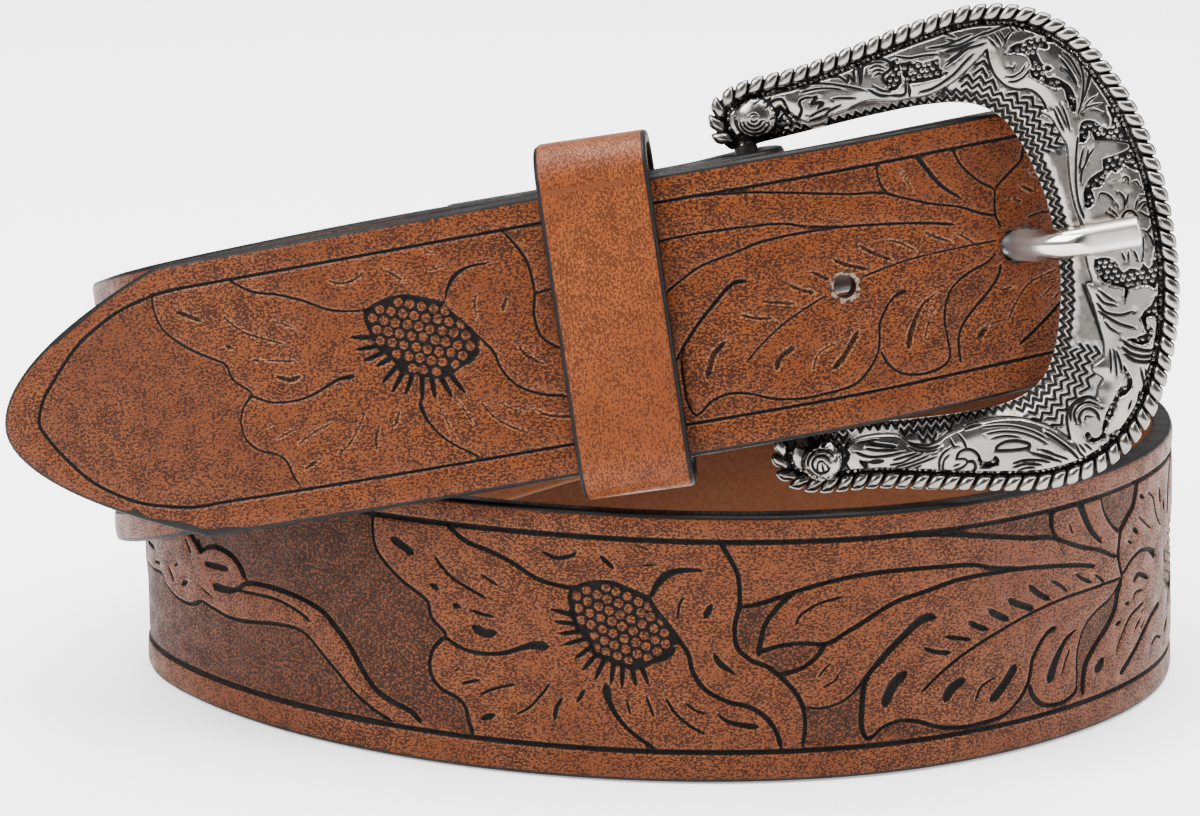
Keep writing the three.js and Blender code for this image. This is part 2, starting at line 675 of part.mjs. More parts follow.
const belt = new THREE.Group();
belt.add(named("strap", makeStrap(), finishes.leather));
belt.add(named("keeper", makeKeeper(), finishes.keeperLeather));
belt.add(named("buckle_frame", makeFrame(), finishes.antiqueSilver, buckleMatrix));
belt.add(named("prong", makeProng(), finishes.polishedNickel, buckleMatrix));
RIVETS.forEach((rivet, i) => {
  belt.add(named("fold_rivet_" + (i + 1), makeRivet(rivet), finishes.rivetSteel));
});

// The origin: the middle of the belt's box, on the floor
const box = new THREE.Box3().setFromObject(belt, true);
const middle = box.getCenter(new THREE.Vector3());
belt.position.set(-middle.x, -middle.y, -box.min.z);

export default belt;
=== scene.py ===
# %% [markdown]
# # A tooled western belt, rolled into two turns
#
# The belt stands on its lower edge, buckled, as it is kept on a shelf. Its pointed end crosses
# the front, goes under a keeper and through a horseshoe buckle, and the rest makes two turns.
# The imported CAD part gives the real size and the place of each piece. Everything below is in
# millimetres until it becomes a mesh, because that is how a belt maker thinks of leather.

# %% The frame
import math

import bmesh
import bpy
import numpy as np
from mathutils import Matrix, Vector
from mathutils.geometry import delaunay_2d_cdt


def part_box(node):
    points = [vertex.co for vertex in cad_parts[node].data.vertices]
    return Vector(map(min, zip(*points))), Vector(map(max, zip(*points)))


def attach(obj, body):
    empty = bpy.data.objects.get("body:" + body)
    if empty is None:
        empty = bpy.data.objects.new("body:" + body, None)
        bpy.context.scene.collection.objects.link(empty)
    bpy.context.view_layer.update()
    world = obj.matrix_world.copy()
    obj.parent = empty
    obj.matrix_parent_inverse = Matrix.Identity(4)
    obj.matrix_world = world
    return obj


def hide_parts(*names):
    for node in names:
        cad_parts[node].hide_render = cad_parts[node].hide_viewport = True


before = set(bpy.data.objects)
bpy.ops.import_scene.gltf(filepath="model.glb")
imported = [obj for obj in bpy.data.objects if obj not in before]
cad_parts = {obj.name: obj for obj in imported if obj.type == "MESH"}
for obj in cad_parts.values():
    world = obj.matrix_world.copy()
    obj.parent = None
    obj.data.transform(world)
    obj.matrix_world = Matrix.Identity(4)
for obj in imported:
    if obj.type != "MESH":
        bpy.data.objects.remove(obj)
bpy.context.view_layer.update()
MM = 0.001
rng = np.random.default_rng(7)
print("CAD nodes:", ", ".join(sorted(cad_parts)))

# %% [markdown]
# ## The camera
#
# The camera stands half a metre away and looks 15.6 degrees down, so the top edges of both turns
# show as narrow ellipses. It could be turned until the picture looks right, but it was worked out
# from the strap's constant width near and far, which fixes the distance as well. The lens is as
# long as that distance asks for.

# %% Camera
STAND_OFF = 0.480
LOOK_DOWN = math.radians(15.6)
AIM = Vector((0, 0, 0.040))
SENSOR = 36.0
LENS = 97.5


def make_camera(shift):
    data = bpy.data.cameras.new("camera")
    data.sensor_width = SENSOR
    data.lens = LENS
    camera = bpy.data.objects.new("camera", data)
    bpy.context.scene.collection.objects.link(camera)
    away = Vector((0, -math.cos(LOOK_DOWN), math.sin(LOOK_DOWN)))
    camera.location = AIM + away * STAND_OFF + shift
    camera.rotation_euler = (math.pi / 2 - LOOK_DOWN, 0, 0)
    bpy.context.scene.camera = camera
    return camera


print(f"camera: {STAND_OFF} m away, {LENS} mm lens")

# %% [markdown]
# ## The strap's route
#
# A strap bends only one way, so its whole shape is a line on the table with a height and a lean.
# Each row below is one place of the outer face's lower edge. A smooth curve runs through the rows,
# and any point of the leather is then a length along it, a height up its width and a depth below
# its face. Working on the flat strap means that the tooling can be drawn as the maker draws it.

# %% Route
WIDTH = 38.0
THICKNESS = 3.0
# right, back: place on the plan; low: height of the lower edge; lean: outward lean, degrees
ROUTE = [
    # the pointed end and the front run
    (-84.0, -26.6, 23.6, -8.2),
    (-60.0, -34.9, 30.2, -8.0),
    (-36.0, -41.1, 36.0, -7.8),
    (-12.0, -44.8, 41.3, -7.6),
    (12.0, -46.1, 46.0, -7.5),
    (36.0, -45.0, 50.1, -7.4),
    (58.0, -38.3, 53.2, -7.6),
    # round the right side, and down along the back
    (72.0, -28.8, 53.6, -8.2),
    (79.0, -12.0, 51.0, -8.4),
    (79.0, 10.0, 45.0, -7.5),
    (69.0, 30.0, 37.5, -5.0),
    (49.5, 42.0, 30.0, -2.0),
    (25.0, 47.0, 23.0, 0.0),
    (0.0, 47.3, 16.0, 1.0),
    (-24.5, 44.0, 9.5, 1.0),
    (-47.0, 35.0, 4.2, 0.5),
    (-62.5, 20.5, 1.0, 0.0),
    # the lower front turn
    (-68.4, 3.5, 0.0, -0.5),
    (-62.0, -12.0, 0.0, -1.5),
    (-46.5, -27.3, 0.0, -3.5),
    (-26.0, -39.0, 0.0, -4.4),
    (-3.0, -46.0, 0.0, -3.2),
    (20.5, -47.6, 0.0, -1.2),
    (44.0, -43.0, 0.0, -0.5),
    (65.5, -31.0, 0.0, -1.0),
    (81.0, -14.0, 0.0, -2.0),
    # the outer turn, rising to the left side
    (86.4, 6.0, 0.0, -2.0),
    (80.5, 27.0, 0.0, -1.0),
    (64.5, 43.0, 0.0, 0.0),
    (41.5, 51.0, 0.0, 1.0),
    (16.5, 53.5, 1.0, 2.0),
    (-8.5, 52.5, 4.0, 3.0),
    (-33.0, 47.5, 8.5, 3.8),
    (-54.5, 36.5, 13.3, 4.2),
    (-67.5, 19.0, 16.5, 4.0),
    (-72.0, 0.0, 20.0, 3.0),
    (-65.5, -19.5, 25.6, -1.0),
    # behind the front run, up to the buckle's bar
    (-51.5, -31.2, 31.4, -5.5),
    (-30.5, -38.1, 37.2, -7.3),
    (-11.0, -40.6, 41.3, -7.5),
    (12.0, -41.8, 45.5, -7.5),
    (27.2, -41.2, 48.3, -7.5),
]
print(len(ROUTE), "places on the route")

# %% Smooth line
SPAN_STEPS = 24


def spline_through(rows, steps):
    """A cubic B-spline whose control points are drawn out until it passes through the rows."""
    control = rows.copy()
    for _ in range(3):
        bend = np.zeros_like(rows)
        bend[1:-1] = control[2:] - 2 * control[1:-1] + control[:-2]
        control = rows - bend / 6
    first = 2 * control[0] - control[1]
    last = 2 * control[-1] - control[-2]
    control = np.vstack([first, control, last])
    place = np.arange(steps * (len(rows) - 1) + 1) / steps
    span = np.minimum(place.astype(int), len(rows) - 2)
    t = (place - span)[:, None]
    weights = [(1 - t) ** 3, 3 * t**3 - 6 * t**2 + 4, -3 * t**3 + 3 * t**2 + 3 * t + 1, t**3]
    return sum(weight * control[span + k] for k, weight in enumerate(weights)) / 6


def unit(vectors):
    return vectors / np.linalg.norm(vectors, axis=-1, keepdims=True)


def pairs(numbers):
    """Points from a charted row that gives right and up in turns."""
    return list(zip(numbers[::2], numbers[1::2]))


samples = spline_through(np.array(ROUTE), SPAN_STEPS)
print(len(samples), "samples of the route")

# %% Directions along the line
line = samples[:, :3].copy()
line[:, 2] = np.maximum(line[:, 2], 0)
lean = np.radians(samples[:, 3])
heading = np.empty_like(line)
heading[1:-1] = line[2:] - line[:-2]
heading[0], heading[-1] = line[1] - line[0], line[-1] - line[-2]
heading = unit(heading)
level = unit(np.cross(heading, (0, 0, 1)))
rise = np.cross(level, heading)
across = rise * np.cos(lean)[:, None] + level * np.sin(lean)[:, None]
out = level * np.cos(lean)[:, None] - rise * np.sin(lean)[:, None]
length = np.concatenate([[0], np.cumsum(np.linalg.norm(np.diff(line, axis=0), axis=1))])
ROUTE_LENGTH = length[-1]
print(f"route: {ROUTE_LENGTH:.0f} mm to the buckle's bar")

# %% Fold round the bar
FOLD_RADIUS = 5.0
# the fold's back run, and the length in which it comes down from round to flat
FOLD_BACK = 42.3
FOLD_SETTLE = 9.4
LAYER_GAP = 0.3
FOLD_LENGTH = math.pi * FOLD_RADIUS
STRAP_END = ROUTE_LENGTH + FOLD_LENGTH + FOLD_BACK
print(f"strap: {STRAP_END:.0f} mm with its fold")

# %% Any point of the leather


def ease(value, low, high):
    """0 at low, 1 at high and smooth between; low may be the larger."""
    share = np.clip((value - low) / (high - low), 0, 1)
    return share * share * (3 - 2 * share)


def read_along(at, table):
    return np.stack([np.interp(at, length, table[:, k]) for k in range(3)], -1)


def along_route(u):
    """Foot of the face, across and out directions at lengths u, round the fold as well."""
    u = np.asarray(u, float)
    beyond = u - ROUTE_LENGTH
    turned = np.clip(beyond / FOLD_RADIUS, 0, math.pi)[:, None]
    back = np.clip(beyond - FOLD_LENGTH, 0, FOLD_BACK)
    at = np.where(beyond > FOLD_LENGTH, ROUTE_LENGTH - back, np.minimum(u, ROUTE_LENGTH))
    foot, up, face, ahead = [read_along(at, table) for table in (line, across, out, heading)]
    up, face, ahead = unit(up), unit(face), unit(ahead)
    round_face = face * np.cos(turned) + ahead * np.sin(turned)
    round_foot = foot - face * FOLD_RADIUS + round_face * FOLD_RADIUS
    settle = ease(back, 0, FOLD_SETTLE)
    deep = 2 * FOLD_RADIUS + (2 * THICKNESS + LAYER_GAP - 2 * FOLD_RADIUS) * settle
    lying = (beyond > FOLD_LENGTH)[:, None]
    bending = (beyond > 0)[:, None]
    foot = np.where(lying, foot - face * deep[:, None], np.where(bending, round_foot, foot))
    face = np.where(lying, -face, np.where(bending, round_face, face))
    return foot, up, face


def on_strap(flat, depth):
    """Points of the leather: flat holds length and height, depth goes in from the face."""
    foot, up, face = along_route(flat[:, 0])
    return foot + up * flat[:, 1:2] - face * np.reshape(depth, (-1, 1))


print("tip stands at", np.round(on_strap(np.array([[0.0, 0.0]]), 0)[0], 1))

# %% [markdown]
# ## Drawing the tooling
#
# The ornament was cut with a swivel knife and stamps, so each line is a stroke with a width. The
# strokes below were charted on the unrolled strap, in millimetres: first the distance along one
# repeat of the pattern, then the height up the strap. A picture of the ornament laid on the face
# would look flat, so the strokes become real cuts with real shoulders in the mesh.

# %% Stem strokes
REPEAT = 210.9
REPEAT_START = -21.8
LINE = 0.7
# each stroke: its width, or a width for each point; then right and up, in turns
STEM_STROKES = [
    (LINE, 3, 16.5, 6.5, 16.5, 10, 16.8, 11.5, 15.5, 14, 14.5, 16.5, 14.2, 19, 14.5, 20.8, 15.5),
    (LINE, 20.8, 15.5, 24, 15, 27.5, 14.5, 31.5, 14.8, 36, 15.5, 40, 15.7, 42.5, 15, 45, 13, 48,
     10.5, 51, 8, 54, 6.2, 57, 5),
    (LINE, 21, 22.8, 22, 23.7, 24, 24.4, 26, 24.3, 28, 23.7, 29.5, 22.5, 30.5, 21),
    ([1.4, 1.1, 0.8, 0.7, 0.7, 0.7, 0.7, 0.7, 0.7, 0.7, 0.7, 0.7, 0.7, 0.7, 0.7, 0.6], 24, 18.5,
     27, 18.6, 29, 19.1, 30.5, 20.2, 32, 20.6, 35, 20.8, 38.5, 20.6, 42, 20, 45, 19, 47.5, 17, 50,
     14.5, 52.5, 11, 54.5, 9, 57, 7.8, 60, 6.8, 61.5, 5.5),
    (0.5, 29.5, 19, 32.5, 19.2, 36, 19.3, 39, 18.8, 41.5, 18, 43, 17.2),
    (LINE, 0, 27.5, 3, 28.6, 6.5, 28.2, 9, 26.6, 12.5, 27.2, 16, 26.4, 19, 24.5, 21, 22.8),
    (1.0, 22, 21.4, 27, 21.7), (0.7, 4, 20.1, 7.2, 20), (0.4, 17.2, 24, 18.6, 22.3),
    (0.8, 20, 24.5, 20.8, 22.8), (0.5, 12.3, 18.5, 14, 16.8), (0.5, 14.2, 19.2, 15, 19.7),
    (0.8, 16.2, 16.8, 17.6, 17.6), (0.3, 21, 17.5, 23.5, 16.8), (0.5, 7.5, 18, 9.5, 18.3),
]
print(len(STEM_STROKES), "stem strokes")

# %% Scroll strokes
SCROLL_STROKES = [
    # the first petals and flower
    (LINE, 53.2, 34.3, 53.2, 32, 53.8, 29.5, 55.5, 27.5, 58, 25.5, 61, 23.8, 62.3, 22.8, 62.8,
     20.8, 64.8, 19, 65.2, 18.3),
    (LINE, 65, 18.3, 63.3, 16.5, 62.7, 14.5, 63, 12.5, 64.5, 10.8, 67, 9.8, 68.3, 8.5, 68.8, 6.5,
     69.5, 5),
    (LINE, 65, 34.2, 68, 32.2, 71.5, 31.2, 75, 29.8, 77.5, 28.4, 80, 27.5, 83.5, 27.1, 85, 27.6,
     86.5, 28, 89, 28.15, 91, 27.5, 93.5, 26.5, 94.3, 26.2),
    ([0.5, 0.9, 1.2, 0.8, 0.4], 94.5, 26.3, 95.2, 28, 96.5, 29.5, 98.5, 30.3, 101.5, 30.4),
    (LINE, 94.3, 26.2, 94.9, 25, 97, 22.4, 98.5, 20.3, 99.7, 18.5, 100.3, 16, 102, 13.5, 105, 11.8,
     108, 11, 110.3, 9.5, 111.8, 7.3, 112.5, 5),
    (LINE, 83.5, 27.1, 83.2, 25.8, 83.6, 24, 84.2, 21.7, 86, 20, 86.8, 18, 89, 17.3, 91, 16.5, 93,
     16.5, 95, 17.4, 96.5, 17.8, 97.8, 19),
    (LINE, 103.7, 34.5, 105, 32.5, 106.3, 29.8, 106.6, 27, 106.5, 25, 106, 23, 106, 21, 106.5,
     19.2, 108.5, 17.5, 110.3, 16.8, 112.5, 15, 114.5, 12.7, 115.5, 10.5, 115.8, 8, 115.5, 5),
    # the long vine with its leaves
    (LINE, 106.8, 25.2, 110, 25.8, 114.2, 27.3, 118, 28.3, 122.5, 29.1, 128, 29.4, 135, 29.2, 140,
     28.8, 143.5, 27.8, 148, 27),
    (LINE, 114.2, 27.3, 112.2, 25.5, 110.2, 22.8, 109.5, 20, 109.2, 18.3),
    (LINE, 109.3, 18.8, 112, 19.6, 115, 19.9, 118.5, 19.7, 121.5, 21.2, 125, 23.2, 128.5, 25, 133,
     26, 136.5, 26.8, 140, 27.1, 144, 27.1, 148.5, 26.9, 152.5, 26.4, 156.5, 25.8, 160, 25.1, 163,
     24.3), (LINE, 118.5, 19.7, 117.5, 18.2, 115.5, 16.5, 112.3, 15.4),
    ([0.5, 0.5, 0.5, 0.6, 0.8, 1, 1.1, 1.2, 1.3, 1], 115.8, 10.6, 118, 10.4, 120.5, 11, 122.5,
     12.3, 124.7, 15, 127, 17.5, 129.5, 19.8, 131.5, 21.5, 133, 22.2, 134.3, 22),
    ([0.7] * 19 + [1.3], 124.7, 15, 124, 13, 123.8, 10, 123.8, 7.5, 124.5, 5.6, 125.5, 5.8, 127, 7,
     129.5, 7.6, 132, 7.2, 135, 6, 138, 5.4, 141, 5.3, 146, 5.8, 148.5, 7.5, 150, 9.5, 150.6, 11.5,
     150.8, 13, 152, 15, 153.5, 16.5, 155, 16.9),
    (LINE, 150.5, 9.5, 151, 8, 152, 6.7, 153.5, 5.8, 156, 5.4, 158.5, 5.8, 159.8, 7, 159.8, 10,
     159.8, 12, 160.3, 14, 161.5, 16, 164, 17.5, 167, 18.5, 169.3, 20.3, 169.8, 21.2),
    (0.5, 132.5, 11.4, 135, 13.5, 138, 15.5, 141.5, 17.2, 145, 18.5, 149, 19.7, 153, 20.5, 157, 21,
     161, 21.1, 165, 21.1, 169.5, 21),
    (LINE, 128, 34.4, 135, 33.8, 140, 33, 145, 32, 150, 31, 153.5, 30.5, 156, 29.5, 160, 27.8, 164,
     26.5, 167, 25, 168.5, 24.5), (LINE, 153.8, 34.3, 153.9, 32, 154.5, 30.5, 156, 29.5),
    ([1.3, 1.2, 1, 0.6], 159.3, 34.4, 160.3, 32.5, 162, 29.8, 164.5, 27.5),
    (LINE, 164.2, 34.3, 165, 32, 167, 29.5, 169, 28),
    (LINE, 174.2, 34.5, 173.5, 32.5, 173, 31, 171.5, 29.8, 169.5, 28.2, 169, 27, 168.8, 24.5,
     169.3, 22.8, 169.9, 21.2),
    ([0.6, 0.6, 0.6, 0.7, 1.2, 1.8], 170, 21.4, 172.5, 23, 175, 23.6, 177.5, 23.3, 179.5, 22.3,
     180.5, 21.6),
    (LINE, 169.9, 20.7, 169, 19, 168.3, 16.5, 166.5, 14.5, 164, 12.5, 162, 10.5, 161.3, 8.5, 161.2,
     5.8), (1.0, 170, 6.5, 172.5, 8, 175, 9.7, 177.5, 11.5, 180, 12.8, 182.8, 13.5),
    ([0.6, 0.6, 0.6, 0.7, 0.8, 1.1, 1.6], 65, 18.3, 67.5, 17, 70.5, 16.6, 73.5, 16.9, 76, 17.8, 78,
     18.5, 80, 18.5),
    ([1.5, 1, 0.7, 0.6, 0.6, 0.6], 88.4, 13.5, 88.8, 11.5, 89.8, 9.5, 91.5, 7.5, 93.5, 6, 95, 5),
    # petals beside the second flower
    (1.0, 187.5, 26, 188, 30, 189.5, 33, 191.5, 34),
    (0.8, 197.5, 33.5, 200, 30, 201.5, 26, 202, 21), (0.8, 196, 13.5, 198, 11, 201, 9.5),
]

print(len(SCROLL_STROKES), "scroll strokes")

# %% Small marks
# charted on squared paper, twenty squares to a millimetre, height downwards
SQUARES = 20
PAPER_TOP = 40
# the paper's left edge on the repeat; then width (or a width a point), right and down
MARK_SHEETS = {
    0: [
        (1.2, 1130, 175, 1160, 190, 1195, 210), (0.5, 1265, 210, 1290, 240, 1330, 270, 1420, 310),
        (1.0, 1255, 290, 1275, 300), (0.9, 1330, 340, 1340, 343),
    ],
    65: [
        (0.4, 30, 528, 45, 520), (0.5, 55, 560, 105, 545), (0.45, 110, 585, 150, 565, 210, 545),
        (0.4, 310, 535, 285, 570, 250, 610, 215, 630), (0.6, 345, 575, 330, 600, 325, 635),
        (0.6, 408, 545, 388, 580), (1.0, 115, 655, 150, 640), (0.35, 525, 565, 535, 605),
        (0.4, 580, 555, 600, 610), (0.45, 635, 560, 660, 600, 700, 635, 740, 658),
        (0.4, 688, 570, 710, 588, 740, 600),
        ([0.4, 0.6, 0.8, 1], 775, 600, 800, 620, 840, 632, 883, 638),
        ([0.4, 0.9, 0.4], 762, 425, 780, 455, 820, 485), (0.4, 680, 270, 668, 290, 665, 330),
        (0.4, 720, 290, 715, 305), (0.9, 755, 290, 738, 325),
        (0.6, 285, 165, 325, 178, 365, 170, 380, 160), (0.7, 450, 165, 485, 195),
        (0.3, 560, 130, 580, 140), (0.3, 565, 185, 600, 180), (0.4, 105, 245, 155, 270),
        (1.0, 25, 340, 42, 343), (0.5, 78, 350, 145, 362), (1.3, 85, 395, 120, 410, 150, 405),
        (0.4, 985, 350, 1000, 320, 1050, 290, 1115, 275), (0.3, 1050, 500, 1070, 475, 1085, 465),
        (0.3, 1065, 530, 1095, 515, 1110, 490), (1.5, 1240, 595, 1265, 540, 1300, 510),
        (0.7, 1355, 445, 1390, 460, 1435, 468), (0.7, 1420, 420, 1460, 430, 1500, 440),
        (1.5, 1425, 605, 1440, 575, 1480, 555),
    ],
    130: [
        (0.9, 195, 388, 220, 405, 255, 420), (1.0, 260, 365, 290, 385, 325, 403),
        (1.0, 325, 345, 360, 365, 410, 385), (0.9, 398, 318, 430, 345, 475, 372),
        (0.5, 480, 320, 510, 335, 545, 362), (0.6, 580, 320, 610, 340, 645, 358),
        (0.5, 665, 340, 690, 358, 708, 375), (0.4, 220, 625, 240, 585, 285, 565),
        (1.5, 275, 630, 310, 600, 355, 545),
        ([1.7, 1.4, 0.8, 0.4], 485, 615, 500, 570, 540, 510, 585, 485),
        (0.35, 530, 610, 545, 570, 560, 540), (1.6, 680, 630, 710, 605),
        (0.8, 865, 410, 895, 395, 960, 425), (0.4, 860, 462, 880, 445, 920, 450),
        (0.5, 775, 600, 800, 560, 850, 510, 930, 490), (0.7, 820, 465, 840, 468),
        (0.5, 880, 555, 910, 535), (0.5, 915, 565, 935, 550), (0.3, 915, 515, 935, 510),
        (0.8, 770, 515, 795, 512), (0.4, 545, 165, 560, 195), (0.8, 895, 160, 920, 172),
        (0.4, 950, 165, 990, 190, 1020, 250, 1060, 290), (0.8, 1045, 175, 1060, 225),
        (1.0, 1090, 225, 1105, 255), (0.4, 890, 222, 930, 250, 975, 278),
        (0.9, 855, 248, 885, 268), (0.6, 830, 280, 850, 290),
        (0.5, 990, 640, 1030, 625, 1075, 640), (1.2, 1120, 635, 1160, 610),
    ],
}

print(sum(map(len, MARK_SHEETS.values())), "small marks")

# %% Bead fields
# the flowers' middles, in black, with raised beads
FLOWER_FIELD = [
    83.5, 27.1, 86.5, 28, 89, 28.15, 91.5, 27.2, 94, 26.2, 95, 25, 97, 22.5, 97.9, 20.8, 97.8, 19,
     96.5, 17.8, 95, 17.4, 93, 16.5, 91, 16.5, 89, 17.3, 86.8, 18, 86, 20, 84.2, 21.7, 83.6, 24,
     83.2, 25.8,
]
FIRST_MIDDLE, SECOND_MIDDLE = (90.55, 22.0), (192.0, 19.2)
BEAD_RADIUS = 0.64
BEAD_PITCH = 1.62
BEAD_TURN = -20.0
print(f"beads {2 * BEAD_RADIUS} mm wide, {BEAD_PITCH} mm apart")

# %% Matted ground
# stamped down and rough, between the leaves
GROUNDS = [
    [106.7, 25.3, 114.2, 27.5, 111.5, 24, 109.3, 18.3, 106.5, 19.5],
    [109.3, 18.2, 115, 19.8, 118.5, 19.8, 116, 17.3, 112.3, 15.5],
    [115.8, 10.5, 120, 10.7, 123, 12.5, 124.7, 14.7, 123.9, 11, 123.9, 8, 124.5, 5.3, 115.8, 5],
    [124.8, 5.3, 127, 7.2, 130, 7.4, 134, 6, 137, 5],
    [135, 34.3, 140, 33.2, 145, 32.2, 150, 31.2, 153.5, 30.6, 153.8, 33, 154, 34.4],
    [164.4, 34.3, 165.2, 32, 167, 29.6, 169, 28.2, 171.5, 29.9, 173, 31.1, 173.5, 32.6, 174, 34.3],
    [169, 19.5, 167, 18.3, 164, 17.3, 161.6, 15.8, 160.4, 14, 160, 12, 160, 9, 160, 6, 161.1, 5.6,
     161.4, 8.5, 162.2, 10.6, 164.2, 12.7, 166.7, 14.7, 168.4, 16.7],
    [146, 5.6, 149, 7.3, 150.3, 9, 151, 7.8, 152.2, 6.2, 153, 5.3],
]
STEM_GROUNDS = [
    [-11.9, 4.6, -10.4, 7, -8.4, 9.5, -5.9, 11.5, -3.2, 14, -0.5, 15.9, 3, 16.5, 6.5, 16.5, 10,
     16.8, 11.5, 15.5, 14, 14.5, 16.5, 14.2, 19, 14.5, 20.8, 15.5, 24, 15, 27.5, 14.5, 31.5, 14.8,
     36, 15.5, 40, 15.7, 42.5, 15, 45, 13, 48, 10.5, 51, 8, 54, 6.2, 56, 4.8],
    [-11.9, 34.4, -11, 32, -9, 30.2, -6, 30, -3.5, 28.3, 0, 27.6, 3, 28.6, 6.5, 28.2, 9, 26.6,
     12.5, 27.2, 16, 26.4, 19, 24.5, 21, 22.8, 22, 23.7, 24, 24.4, 26, 24.3, 28, 23.7, 29.5, 22.5,
     30.5, 20.4, 32, 20.6, 35, 20.8, 38.5, 20.6, 42, 20, 45, 19, 47.5, 17, 50, 14.5, 52.5, 11,
     54.5, 9, 57, 7.8, 60, 6.8, 61.5, 5.5, 69, 5, 68.3, 8.5, 67, 9.8, 64.5, 10.8, 63, 12.5, 62.7,
     14.5, 63.3, 16.5, 65, 18.3, 62.8, 20.8, 62.3, 22.8, 61, 23.8, 58, 25.5, 55.5, 27.5, 53.8,
     29.5, 53.2, 32, 53.2, 34.3],
]
STEM_END = 55.0
print(len(GROUNDS) + len(STEM_GROUNDS), "stamped grounds")

# %% Border and pointed end
BORDER = {"low": 4.45, "high": 34.35, "from": 34.0, "width": 0.8, "tongue width": 0.46}
BORDER_STEP = 0.7
TIP_ARCH = [(35, 4.35), (31, 4.5), (27, 5.25), (23.5, 6.25), (20, 8), (16.5, 10.5),
            (13, 14.5), (10.75, 18), (10.3, 19.5), (10.75, 21), (12, 23), (15, 26),
            (18.5, 29), (22, 31), (26, 32.75), (30, 33.75), (33, 34.2), (36.5, 34.36)]
PETAL_SIDE = [(31.4, 34.3), (31.4, 32), (32, 29.5), (33.7, 27.5), (36.2, 25.5), (39.2, 23.8),
              (40.5, 22.8), (41, 20.8), (43, 19), (43.4, 18.3), (41.5, 16.5), (40.9, 14.5),
              (41.2, 12.5), (42.7, 10.8), (45.2, 9.8), (46.5, 8.5), (47, 6.5), (47.7, 5)]
# the pointed end is the tongue: its lines are thinner and its small marks paler
TONGUE_END = 190.0
TONGUE_LINE = 0.5
TONGUE_MARK_INK = 0.7
TONGUE_GROUND = 0.32
print("border lines at", BORDER["low"], "and", BORDER["high"], "mm")

# %% Holes
# place along the strap, radius; the prong's worn one is an oval
HOLE_RADIUS = 1.45
SPARE_HOLES = [125.3, 169.5, 191.6, 213.7]
# the prong leans in its hole, so the hole starts further left on the inner side
PRONG_HOLE = {"from": 147.5, "inner_from": 143.4, "to": 152.8, "height": 19.8, "half": 2.4}
MIDDLE = WIDTH / 2
RIVETS_FROM_BAR = [12.4, 35.0]
RIVET_BORE = 1.6
FOLD_SLOT = {"reach": 6.4, "half": 2.8}
print(len(SPARE_HOLES) + 1, "holes")

# %% [markdown]
# ## Cutting strokes into a sheet
#
# A tooled face is one fine mesh of the flat sheet. Its points are the strokes' middles, their
# two edges and the shoulders beside them, with a plain grid in between, so every cut gets edges
# exactly where the knife went. A displacement picture would need far more triangles for the same
# crispness. Each point also remembers how far it is from the nearest cut, and the materials read
# that to put black paint in the cuts and a worn rim beside them.

# %% Paths
NEAR = 2.0
SHOULDER = 0.35
PATH_STEP = 0.55
CURVE_STEPS = 8


def smooth_path(rows, step):
    """Rows of x, y and anything else, resampled along a Catmull-Rom curve."""
    rows = np.asarray(rows, float)
    if len(rows) > 2:
        padded = np.vstack([2 * rows[0] - rows[1], rows, 2 * rows[-1] - rows[-2]])
        t = np.linspace(0, 1, CURVE_STEPS + 1)[:-1, None]
        pieces = []
        for a, b, c, d in zip(padded, padded[1:], padded[2:], padded[3:]):
            curve = 2 * b + (c - a) * t + (2 * a - 5 * b + 4 * c - d) * t**2
            pieces.append((curve + (3 * b - a - 3 * c + d) * t**3) / 2)
        rows = np.vstack(pieces + [rows[-1:]])
    run = path_run(rows)
    even = np.linspace(0, run[-1], max(2, int(round(run[-1] / step)) + 1))
    return np.stack([np.interp(even, run, rows[:, k]) for k in range(rows.shape[1])], -1)


def path_run(rows):
    """How far along a path each of its rows lies."""
    return np.concatenate([[0], np.cumsum(np.hypot(*np.diff(rows[:, :2], axis=0).T))])


def side_of(path):
    ahead = unit(np.gradient(path[:, :2], axis=0))
    return np.stack([-ahead[:, 1], ahead[:, 0]], -1)


def no_width(path):
    return np.column_stack([path, np.zeros(len(path))])


def closed(loop):
    """A loop as a path without width that ends where it starts."""
    return no_width(np.vstack([loop, loop[:1]]))


print("cut points every", PATH_STEP, "mm, shoulders", SHOULDER, "mm beside them")

# %% One cut
# a cut's end is this share of its width, and it widens by so much for each millimetre
END_SHARE, END_GROWTH = 0.55, 0.9


def stroke(width, points, step=PATH_STEP):
    """A cut: rows of x, y and half width, thinner at both ends as a knife leaves them."""
    points = np.asarray(points, float)
    widths = np.broadcast_to(width, len(points))
    path = smooth_path(np.column_stack([points, np.asarray(widths) / 2]), step)
    run = np.linspace(0, 1, len(path))
    span = max(np.hypot(*np.diff(path[:, :2], axis=0).T).sum(), 0.1)
    path[:, 2] *= np.minimum(1, END_SHARE + END_GROWTH * np.minimum(run, 1 - run) * span)
    return path


def stroke_points(path):
    """The points that a cut needs, and the shoulders beside it."""
    side = side_of(path)
    edges = [path[:, :2] + sign * side * path[:, 2:3] for sign in (-1, 1)]
    beside = [path[:, :2] + sign * side * (path[:, 2:3] + SHOULDER) for sign in (-1, 1)]
    ahead = path[-1, :2] - path[-2, :2]
    behind = path[0, :2] - path[1, :2]
    caps = [path[-1, :2] + unit(ahead) * path[-1, 2], path[0, :2] + unit(behind) * path[0, 2]]
    return np.vstack([path[:, :2], *edges, caps]), np.vstack(beside)


def runs_where(path, good):
    """The stretches of a path, of three rows or more, along which good holds."""
    breaks = np.flatnonzero(np.diff(good)) + 1
    runs = zip(np.split(path, breaks), np.split(good, breaks))
    return [part for part, fine in runs if fine[0] and len(part) > 2]


